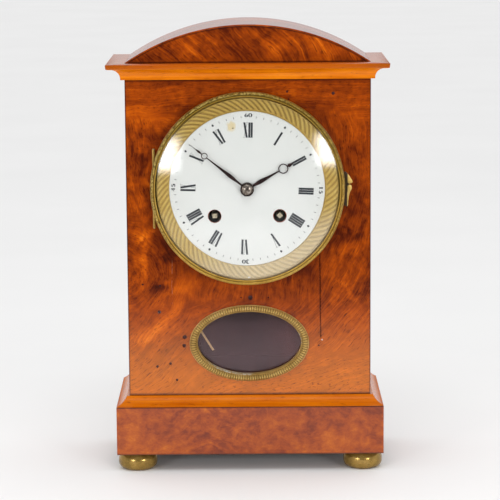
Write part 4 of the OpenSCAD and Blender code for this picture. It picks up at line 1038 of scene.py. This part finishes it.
# room for the hinge behind the rim's left edge
me = carve(me, [box(BH[0] - 6, BH[0] + 3, -6.6, 3.4, knuckle_z(0) - 0.6, knuckle_z(0) + 5 * PK + 0.2)], 50)
link("bezel_rim_knurled", me, "bezel", M_RIM, ("bezel_rim",))
parts = []
for i in (1, 3):
    parts.append(box(BH[0] - 0.6, BH[0] + 0.6, -7.4, -5.0, knuckle_z(i), knuckle_z(i) + KN))
    parts.append(knuckle(BH[0], BH[1], knuckle_z(i), knuckle_z(i) + KN, 1.1))
link("bezel_rim_knuckles", join(parts), "bezel", M_LEAF)

# thumb tab: a small shaped lug with a notch
tab = [(73.6 * math.cos(math.radians(a)), 73.6 * math.sin(math.radians(a))) for a in range(-12, 9, 2)]
tab += [(77.8, 12.6), (78.7, 11.6), (79.6, 10.4), (80.5, 9.3), (81.4, 8.0), (82.5, 6.3), (83.3, 5.0), (83.4, 4.5), (83.2, 3.6),
        (82.6, 3.1), (81.2, 2.8), (80.2, 2.4), (80.9, 1.95), (82.1, 1.6), (82.5, 1.0), (82.9, -0.6), (82.5, -1.9), (81.9, -3.0),
        (81.3, -4.1), (80.9, -5.4), (80.4, -8.0), (80.0, -11.2), (79.8, -14.2), (79.4, -15.3), (78.9, -15.6), (78.3, -15.5),
        (76.6, -14.4)]
tab = [(x + RIM[0], z + RIM[1]) for x, z in tab]
link("thumb_tab_shaped", join([outline_mesh([tab], -2.4, -1.6, 0.12)], 30), "bezel", M_TAB, ("bezel_thumb_tab",))

# domed glass
GR, RISE_G, GT = 74.0, 9.5, 1.5
GRAD = (GR * GR + RISE_G ** 2) / (2 * RISE_G)


def dome(r, back=0.0):
    return -10.2 - RISE_G + GRAD - math.sqrt(GRAD * GRAD - r * r) + back


glass = [(GR * i / 40, dome(GR * i / 40)) for i in range(41)] + [(GR * i / 40, dome(GR * i / 40, GT)) for i in range(40, -1, -1)]
link("dial_glass_domed", join([turn(glass, RIM, 192, None, True)], 50), "bezel", M_GLASS, ("dial_glass",))

# -------------------------------------------------------------------- dial
DR = 61.9


def dial_y(x, z):
    """Depth of the dial's slightly domed face at a point measured from its centre."""
    return -3.8 + 0.9 * (x * x + z * z) / (DR * DR)


face = [(0, -1.2), (DR, -1.2), (DR, -2.55), (DR - 0.15, -2.8)]
for i in range(30, -1, -1):
    r = (DR - 0.5) * i / 30
    face.append((r, dial_y(r, 0)))
face[-1] = (0, -3.8)
KEYS = ((25.9, -21.8), (-25.9, -21.8))
me = join([turn(face, MOVE, 240, None, True)], 40)
holes = [prism(circle(5.4, 64, MOVE[0] + kx, MOVE[1] + kz), -6, 2) for kx, kz in KEYS]
holes.append(prism(circle(4.6, 64, MOVE[0], MOVE[1]), -6, 2))
nick = [[w(MOVE[0] + 50.9 + dx, yy, MOVE[1] - 34.2 + dz) for dx, dz in ((0, 0), (1.9, -1.2), (2.6, -0.2), (1.0, 1.2))]
        for yy in (-4.4, -2.2)]
me = carve(me, holes, 40)
link("enamel_dial_domed", me, "case", M_ENAMEL, ("enamel_dial",))
# copper-coloured linings of the winding holes
parts = []
for (kx, kz), lip in zip(KEYS, (0.45, 0.3)):
    c = (MOVE[0] + kx, MOVE[1] + kz)
    yy = dial_y(kx, kz)
    parts.append(turn([(5.38, -1.2), (5.38, yy - 0.05), (5.15, yy - 0.12), (5.38 - lip, yy + 0.1), (5.38 - lip, -1.2)], c, 64))
M_COPPER = brass("hole_lining", ((120, 58, 40), (168, 84, 58), (196, 120, 88)), 0.4, 0.6, 0.4, (60, 30, 20))
link("winding_hole_linings", join(parts), "case", M_COPPER)


# ------------------------------------------------------------------- numerals
def stroke(x0, z0, x1, z1, w0, w1=None):
    """A straight stroke from one end to the other, with a width at each end."""
    w1 = w0 if w1 is None else w1
    d = math.hypot(x1 - x0, z1 - z0)
    nx, nz = -(z1 - z0) / d / 2, (x1 - x0) / d / 2
    return [(x0 + nx * w0, z0 + nz * w0), (x1 + nx * w1, z1 + nz * w1), (x1 - nx * w1, z1 - nz * w1), (x0 - nx * w0, z0 - nz * w0)]


def roman(text, h=12.0, thick=1.6, thin=0.24):
    """Strokes of a Roman numeral, centred on x = 0, from z = 0 to z = h, thick falling and thin rising strokes."""
    widths = {"I": 1.85, "V": 4.0, "X": 4.2}
    total = sum(widths[c] for c in text)
    x = -total / 2
    out = []
    for c in text:
        wd = widths[c]
        m = x + wd / 2
        if c == "I":
            out.append(stroke(m, 0, m, h, thick))
            out.append([(m - 0.92, h), (m + 0.92, h), (m + 0.92, h - 0.16), (m - 0.92, h - 0.16)])
            out.append([(m - 0.92, 0), (m + 0.92, 0), (m + 0.92, 0.16), (m - 0.92, 0.16)])
        elif c == "V":
            out.append(stroke(m - 1.15, h, m + 0.3, 0, thick, thick * 0.9))
            out.append(stroke(m + 1.55, h, m + 0.35, 0, thin))
            for q in (m - 1.15, m + 1.55):
                out.append([(q - 0.9, h), (q + 0.9, h), (q + 0.9, h - 0.16), (q - 0.9, h - 0.16)])
        else:
            out.append(stroke(m - 1.05, h, m + 1.05, 0, thick))
            out.append(stroke(m + 1.25, h, m - 1.25, 0, thin))
            for q, e in ((m - 1.05, h), (m + 1.25, h), (m + 1.05, 0.16), (m - 1.25, 0.16)):
                out.append([(q - 0.85, e), (q + 0.85, e), (q + 0.85, e - 0.16), (q - 0.85, e - 0.16)])
        x += wd
    return out


def arcpts(cx, cz, rx, rz, a0, a1, n=18):
    return [(cx + rx * math.cos(math.radians(a0 + (a1 - a0) * i / n)), cz + rz * math.sin(math.radians(a0 + (a1 - a0) * i / n)))
            for i in range(n + 1)]


def pen(points, widths):
    """A closed outline round a line drawn with a pen of changing width."""
    left, right = [], []
    for i, (x, z) in enumerate(points):
        a = points[max(0, i - 1)]
        b = points[min(len(points) - 1, i + 1)]
        d = math.hypot(b[0] - a[0], b[1] - a[1]) or 1
        nx, nz = -(b[1] - a[1]) / d, (b[0] - a[0]) / d
        k = widths(i / (len(points) - 1)) / 2
        left.append((x + nx * k, z + nz * k))
        right.append((x - nx * k, z - nz * k))
    return left + right[::-1]


def digit(c):
    """Small figures 3 mm high with thick and thin parts, about 2 mm wide, centred on x = 0."""
    swell = lambda t: 0.3 + 0.6 * math.sin(math.pi * t) ** 1.5
    if c == "0":
        return [pen(arcpts(0, 1.5, 0.85, 1.4, 90, 270), lambda t: 0.28 + 0.62 * math.sin(math.pi * t)),
                pen(arcpts(0, 1.5, 0.85, 1.4, -90, 90), lambda t: 0.28 + 0.62 * math.sin(math.pi * t))]
    if c == "1":
        return [stroke(0.05, 0, 0.05, 3.0, 0.9), stroke(-0.6, 2.45, 0.1, 2.95, 0.18), stroke(-0.6, 0.08, 0.7, 0.08, 0.16)]
    if c == "3":
        return [pen(arcpts(-0.05, 2.25, 0.72, 0.68, 150, -80), swell), pen(arcpts(-0.05, 0.85, 0.85, 0.8, 85, -150), swell)]
    if c == "4":
        return [stroke(0.45, 0, 0.45, 3.0, 0.72), stroke(0.5, 2.95, -1.0, 0.85, 0.24), stroke(-1.05, 0.85, 1.0, 0.85, 0.26)]
    if c == "5":
        return [stroke(-0.65, 1.6, -0.45, 2.9, 0.26), stroke(-0.5, 2.75, 0.75, 2.75, 0.46), pen(arcpts(-0.1, 0.95, 0.85, 0.85, 130, -150), swell)]
    return [pen(arcpts(0, 0.88, 0.78, 0.8, 90, 270, 14), lambda t: 0.3 + 0.55 * math.sin(math.pi * t)),
            pen(arcpts(0, 0.88, 0.78, 0.8, -90, 90, 14), lambda t: 0.3 + 0.58 * math.sin(math.pi * t)),
            pen([(-0.78, 0.95), (-0.72, 1.6), (-0.45, 2.25), (0.05, 2.75), (0.5, 2.95)], lambda t: 0.5 - 0.34 * t)]


def on_dial(shape, hour_angle, r):
    """Turns a drawing whose foot is at z = 0 to a place round the dial, its foot at radius r. Angles run clockwise.
    The dial sits slightly turned on its feet."""
    a = math.radians(hour_angle + 1.7)
    out = []
    for x, z in shape:
        rr = r + z
        out.append((rr * math.sin(a) + x * math.cos(a), rr * math.cos(a) - x * math.sin(a)))
    return out


def split_long(shape, step=2.5):
    """Adds points along long edges, so that a thin print follows the domed face."""
    out = []
    for i, p in enumerate(shape):
        q = shape[(i + 1) % len(shape)]
        k = max(1, int(math.hypot(q[0] - p[0], q[1] - p[1]) / step))
        out += [(p[0] + (q[0] - p[0]) * t / k, p[1] + (q[1] - p[1]) * t / k) for t in range(k)]
    return out


def print_on_dial(shapes, raise_=0.05):
    """Thin closed solids on the dial face."""
    parts = []
    for s in shapes:
        s = split_long(s)
        front = [w(MOVE[0] + x, dial_y(x, z) - raise_, MOVE[1] + z) for x, z in s]
        back = [w(MOVE[0] + x, dial_y(x, z) + 0.12, MOVE[1] + z) for x, z in s]
        parts.append(loft([front, back]))
    return parts


shapes = []
# painted by hand: each numeral is a little off its place
for k, (text, off) in enumerate((("XII", -0.5), ("I", 0.4), ("II", 0.3), ("III", 1.0), ("IIII", 1.5), ("V", 0.3), ("VI", 0.9), ("VII", 0.4),
                                 ("VIII", 0.0), ("IX", 0.0), ("X", 0.0), ("XI", 0.4))):
    shapes += [on_dial(s, 30 * k + off, 40.9) for s in roman(text)]
for k in range(60):
    if k % 5:
        shapes.append(on_dial([(-0.17, 0), (0.17, 0), (0.21, 1.7), (-0.21, 1.7)], 6 * k, 56.4))
    elif k % 15:
        shapes.append(on_dial([(-1.0, 1.0), (-0.3, 0), (0.3, 0), (1.0, 1.0), (0.3, 2.0), (-0.3, 2.0)], 6 * k + 0.3, 56.2))
for k, text in ((0, "60"), (15, "15"), (30, "30"), (45, "45")):
    for c, off in zip(text, (-1.6, 1.6)):
        for s in digit(c):
            shapes.append(on_dial([(x * 1.25 + off, z) for x, z in s], 6 * k - 0.4, 57.2))
me = join(print_on_dial(shapes), 30)
link("dial_numerals", me, "case", M_PAINT)


# ----------------------------------------------------------------------- hands
def hand(length, hub, ring_at, ring_r, shape, step=0.35):
    """Outline of a hand that points up: hub, tapering blade, ring and arrow, from widths along its length."""
    n = int((length + hub) / step)
    left = []
    for i in range(n + 1):
        s = -hub + (length + hub) * i / n
        half = 0.0
        if abs(s) < hub:
            half = math.sqrt(hub * hub - s * s)
        if abs(s - ring_at) < ring_r:
            half = max(half, math.sqrt(ring_r ** 2 - (s - ring_at) ** 2))
        for (s0, w0), (s1, w1) in zip(shape, shape[1:]):
            if s0 <= s <= s1:
                half = max(half, w0 + (w1 - w0) * (s - s0) / (s1 - s0))
        left.append((half, s))
    right = [(-h, s) for h, s in left[::-1] if h > 1e-6]
    return [(h, s) for h, s in left if h > 1e-6 or s > 0] + right


def turned_up(loop, a):
    c, s = math.cos(math.radians(a)), math.sin(math.radians(a))
    return [(MOVE[0] + x * c - z * s, MOVE[1] + x * s + z * c) for x, z in loop]


HOUR = [(4.0, 1.3), (6, 0.85), (9, 1.35), (12, 1.7), (15, 1.45), (22, 0.8), (29.6, 0.42), (36.6, 0.42), (37.2, 0.75), (38.4, 1.5),
        (39.5, 1.2), (41.5, 0.5), (43.2, 0.05)]
MINUTE = [(3.6, 0.95), (6, 0.7), (10, 0.85), (15, 1.4), (18, 1.5), (22, 1.2), (30, 0.72), (40.6, 0.36), (45.3, 0.34), (46.6, 0.55),
          (48.4, 0.98), (49.8, 0.7), (52, 0.3), (58.2, 0.08)]
hh = [turned_up(hand(43.2, 5.4, 33.0, 4.0, HOUR, 0.22), -60.8), turned_up(circle(3.8, 48), -60.8), turned_up(circle(3.2, 48, 0, 33.0), -60.8)]
mh = [turned_up(hand(58.2, 4.6, 43.0, 2.6, MINUTE, 0.22), 51.4), turned_up(circle(2.6, 48), 51.4), turned_up(circle(1.95, 48, 0, 43.0), 51.4)]
link("hour_hand_pierced", join([outline_mesh(hh, -5.6, -4.7, 0.16)], 40), "hours", M_BLUED, ("hour_hand",))
link("minute_hand_pierced", join([outline_mesh(mh, -7.4, -6.6, 0.14)], 40), "minutes", M_BLUED, ("minute_hand",))
col = [(0, -7.4), (5.3, -7.4), (5.5, -7.6), (5.5, -8.1), (5.2, -8.45), (4.5, -8.55), (4.2, -8.45), (4.0, -8.6)]
for i in range(9):
    a = math.radians(90 * i / 8)
    col.append((3.6 * math.cos(a) if i < 8 else 0.9, -8.6 - 1.25 * math.sin(a)))
col += [(0.85, -9.95), (0.5, -10.0), (0, -10.0)]
link("hand_collet_domed", join([turn(col, MOVE, 64, None, True)], 40), "minutes", M_COLLET, ("hand_collet",))


# ----------------------------------------------------------------- oval window
def oval_path(a, b, n):
    """n points at even distances round an oval, each with its outward direction."""
    m = 4000
    pts = [(a * math.cos(TAU * i / m), b * math.sin(TAU * i / m)) for i in range(m + 1)]
    acc = [0.0]
    for p, q in zip(pts, pts[1:]):
        acc.append(acc[-1] + math.hypot(q[0] - p[0], q[1] - p[1]))
    out = []
    j = 0
    for i in range(n):
        t = acc[-1] * i / n
        while acc[j + 1] < t:
            j += 1
        f = (t - acc[j]) / (acc[j + 1] - acc[j])
        x = pts[j][0] + (pts[j + 1][0] - pts[j][0]) * f
        z = pts[j][1] + (pts[j + 1][1] - pts[j][1]) * f
        nx, nz = x / (a * a), z / (b * b)
        d = math.hypot(nx, nz)
        out.append((x, z, nx / d, nz / d))
    return out


N_GAD, PER = 122, 10
path = oval_path(44.8, 28.4, N_GAD * PER)
# section: offset from the middle line, depth, and how much the ridges move it
sect = [(-3.5, 5.0, 0), (-3.5, -1.0, 0), (-3.1, -1.6, 0)]
for i in range(13):
    a = math.radians(200 - 220 * i / 12)
    sect.append((0.25 + 2.85 * math.cos(a), -1.35 - 2.8 * max(0.0, math.sin(a)) - (0.15 if 0 < i < 12 else 0), 1 if 0 < i < 12 else 0))
sect += [(3.5, -1.1, 0), (3.5, 0.0, 0), (-1.8, 0.0, -1), (-1.8, 5.0, -1)]
rings, hollow = [], []
for i, (x, z, nx, nz) in enumerate(path):
    ph = TAU * i / PER
    k = abs(math.cos(ph / 2)) ** 0.7
    ring = []
    for o, d, amt in sect:
        hollow.append(0.0)
        if amt >= 0:
            o *= (3.2 * nx * nx + 2.8 * nz * nz) / 3.5
        if amt > 0:
            d0 = min(1.0, (-d - 1.2) / 1.2)
            hollow[-1] = (1 - k) ** 0.8 * d0
            d = d + 0.85 * (1 - k) * d0
            o = o * (1 - 0.07 * (1 - k))
        ring.append(w(WIN[0] + x + nx * o, d, WIN[1] + z + nz * o))
    rings.append(ring)
verts, faces = loft(rings, True, False, True)
me = bpy.data.meshes.new("m")
me.from_pydata(verts, [], faces)
me.attributes.new("hollow", "FLOAT", "POINT").data.foreach_set("value", hollow)
link("window_ring_gadrooned", tidy(me, 60), "case", M_WIN, ("window_ring",))
pane = bevelled(mesh(*prism(oval(43.0, 26.6, 128), 5.0, 7.0)), 0.2, 1)
link("window_pane_flat", pane, "case", M_PANE, ("window_glass",))

# ------------------------------------------------------- the CAD pieces kept
KEEP = {
    "bottom_board": M_DUSK, "back_frame": M_FRAME, "rear_door": M_DOOR, "door_case_hinges": M_BRASS, "door_hinge_leaves": M_BRASS,
    "door_knob": M_LEAF, "bezel_hinge_pin": M_STEEL, "pendulum_holdfast": M_STRIP, "front_plate": M_PLATE, "back_plate": M_BRASS,
    "plate_pillars": M_BRASS, "movement_screws": M_STEEL, "going_barrel": M_BRASS, "going_mainspring": M_STEEL,
    "going_winding_arbor": M_ARBOR, "strike_barrel": M_BRASS, "strike_mainspring": M_STEEL, "strike_winding_arbor": M_ARBOR,
    "second_wheel": M_BRASS, "centre_wheel": M_BRASS, "third_wheel": M_BRASS, "escape_wheel": M_BRASS, "pallets": M_STEEL,
    "cannon_pinion": M_BRASS, "minute_wheel": M_BRASS, "hour_wheel": M_BRASS, "suspension_cock": M_BRASS, "suspension_spring": M_STEEL,
    "pendulum_rod": M_BRASS, "pendulum_bob": M_BELL, "rating_nut": M_BRASS, "strike_second_wheel": M_BRASS, "count_wheel": M_BRASS,
    "pin_wheel": M_BRASS, "strike_fly": M_BRASS, "hammer": M_STEEL, "bell": M_BELL, "bell_stand": M_STEEL}
for name, mat in KEEP.items():
    o = nodes[name]
    if o.material_slots:
        for s in o.material_slots:
            s.material = mat
    else:
        o.data.materials.append(mat)

# -------------------------------------------------------- floor, light, camera
g = Mat("floor")
x, y, z = g.xyz()
n = g.noise(g.vec(x, y, z), 0.004, 2, 0.5)
floor_mat = g.finish(g.ramp(n, [(0.3, (0.82, 0.82, 0.82, 1)), (0.7, (0.84, 0.84, 0.84, 1))]), 0.9, IOR=1.3)


def sheet(name, pts, mat):
    me = bpy.data.meshes.new(name)
    me.from_pydata(pts, [], [(0, 1, 2, 3)])
    me.materials.append(mat)
    o = bpy.data.objects.new(name, me)
    scene.collection.objects.link(o)
    return o


sheet("floor", [(-30, -30, 0), (30, -30, 0), (30, 30, 0), (-30, 30, 0)], floor_mat)

# dark cards of the studio, seen only in gloss: past the table's front edge, behind the camera and above it
g = Mat("studio_card")
x, y, z = g.xyz()
n = g.noise(g.vec(x, y, z), 0.004, 2, 0.5)
card_mat = g.finish(g.ramp(n, [(0.3, (0.012, 0.012, 0.012, 1)), (0.7, (0.016, 0.016, 0.016, 1))]), 0.9, IOR=1.1)
EDGE, FAR, TALL, WIDE = -0.42, -4.5, 3.0, 5.0
# the lower card fades in from its near edge
g = Mat("studio_card_faded")
x, y, z = g.xyz()
n = g.noise(g.vec(x, y, z), 0.004, 2, 0.5)
dull = g.n("BsdfDiffuse")
g.put(dull.inputs[0], g.ramp(n, [(0.3, (0.012, 0.012, 0.012, 1)), (0.7, (0.016, 0.016, 0.016, 1))]))
through = g.n("MixShader")
g.put(through.inputs[0], g.rng(y, EDGE * 1000, EDGE * 1000 - 430.0))
g.put(through.inputs[1], g.n("BsdfTransparent").outputs[0])
g.put(through.inputs[2], dull.outputs[0])
g.put(g.n("OutputMaterial").inputs[0], through.outputs[0])
faded_mat = g.mat
for name, pts in (("card_low", [(-WIDE, FAR, 0.0015), (WIDE, FAR, 0.0015), (WIDE, EDGE, 0.0015), (-WIDE, EDGE, 0.0015)]),
                  ("card_far", [(-WIDE, FAR, 0), (WIDE, FAR, 0), (WIDE, FAR, TALL), (-WIDE, FAR, TALL)]),
                  ("card_top", [(-WIDE, FAR, TALL), (WIDE, FAR, TALL), (WIDE, EDGE, TALL), (-WIDE, EDGE, TALL)])):
    o = sheet(name, pts, card_mat if name == "card_far" else faded_mat)
    o.visible_camera = o.visible_diffuse = o.visible_shadow = o.visible_transmission = False

world = bpy.data.worlds.new("studio")
scene.world = world
world.use_nodes = True
t = world.node_tree
t.nodes.clear()
tc = t.nodes.new("ShaderNodeTexCoord")
sep = t.nodes.new("ShaderNodeSeparateXYZ")
t.links.new(tc.outputs["Generated"], sep.inputs[0])


def world_map(sock, a, b, c, d):
    mr = t.nodes.new("ShaderNodeMapRange")
    mr.interpolation_type = "SMOOTHSTEP"
    for s, v in zip(mr.inputs[1:5], (a, b, c, d)):
        s.default_value = v
    t.links.new(sock, mr.inputs[0])
    return mr.outputs[0]


level_light = world_map(sep.outputs[1], -0.85, 0.25, 0.63, 0.85)
top_light = world_map(sep.outputs[2], 0.25, 1.0, 0.0, 0.38)
both = t.nodes.new("ShaderNodeMath")
both.operation = "ADD"
t.links.new(level_light, both.inputs[0])
t.links.new(top_light, both.inputs[1])
bg = t.nodes.new("ShaderNodeBackground")
t.links.new(both.outputs[0], bg.inputs[1])
bg.inputs[0].default_value = (1, 1, 1, 1)
wo = t.nodes.new("ShaderNodeOutputWorld")
t.links.new(bg.outputs[0], wo.inputs[0])


def softbox(name, pos, target, size_x, size_y, power):
    """A rectangle of light that fades towards its edges."""
    li = bpy.data.lights.new(name, "AREA")
    li.shape, li.size, li.size_y, li.energy = "RECTANGLE", size_x, size_y, power
    li.use_nodes = True
    lt = li.node_tree
    lt.nodes.clear()
    geo = lt.nodes.new("ShaderNodeNewGeometry")
    sp = lt.nodes.new("ShaderNodeSeparateXYZ")
    lt.links.new(geo.outputs["Parametric"], sp.inputs[0])
    fade = None
    for k in (0, 1):
        off = lt.nodes.new("ShaderNodeMath")
        off.operation = "SUBTRACT"
        lt.links.new(sp.outputs[k], off.inputs[0])
        off.inputs[1].default_value = 0.5
        ab = lt.nodes.new("ShaderNodeMath")
        ab.operation = "ABSOLUTE"
        lt.links.new(off.outputs[0], ab.inputs[0])
        mr = lt.nodes.new("ShaderNodeMapRange")
        mr.interpolation_type = "SMOOTHSTEP"
        for s, v in zip(mr.inputs[1:5], (0.5, 0.20, 0.0, 1.0)):
            s.default_value = v
        lt.links.new(ab.outputs[0], mr.inputs[0])
        if fade is None:
            fade = mr.outputs[0]
        else:
            mu = lt.nodes.new("ShaderNodeMath")
            mu.operation = "MULTIPLY"
            lt.links.new(fade, mu.inputs[0])
            lt.links.new(mr.outputs[0], mu.inputs[1])
            fade = mu.outputs[0]
    em = lt.nodes.new("ShaderNodeEmission")
    lt.links.new(fade, em.inputs[1])
    lo = lt.nodes.new("ShaderNodeOutputLight")
    lt.links.new(em.outputs[0], lo.inputs[0])
    o = bpy.data.objects.new(name, li)
    scene.collection.objects.link(o)
    o.location = pos
    o.rotation_mode = "QUATERNION"
    o.rotation_quaternion = (Vector(target) - Vector(pos)).to_track_quat("-Z", "Y")
    o.visible_camera = False
    return o


softbox("softbox_left", (-0.845, -1.40, 0.36), (0, -0.05, 0.2), 0.54, 0.44, 13)
softbox("softbox_right", (0.845, -1.40, 0.40), (0, -0.05, 0.2), 0.54, 0.40, 12.5)
softbox("softbox_top", (0.0, -0.75, 1.35), (0, -0.35, 0.0), 0.7, 0.4, 7)

cam_data = bpy.data.cameras.new("camera")
cam = bpy.data.objects.new("camera", cam_data)
scene.collection.objects.link(cam)
scene.camera = cam
cam_data.sensor_width = 36.0
cam_data.lens = 161.0
cam_data.clip_start, cam_data.clip_end = 0.05, 80
pitch, yaw, roll = math.radians(9.4227), math.radians(0.0024), math.radians(-0.4155)
fwd = Vector((math.sin(yaw) * math.cos(pitch), math.cos(yaw) * math.cos(pitch), -math.sin(pitch)))
right = Vector((math.cos(yaw), -math.sin(yaw), 0))
up = right.cross(fwd)
r2 = math.cos(roll) * right + math.sin(roll) * up
u2 = -math.sin(roll) * right + math.cos(roll) * up
rot = Matrix((r2, u2, -fwd)).transposed()
cam.matrix_world = Matrix.Translation((0.0008, -1.8072, 0.4719)) @ rot.to_4x4()

scene.view_settings.view_transform = "Standard"
scene.view_settings.look = "None"
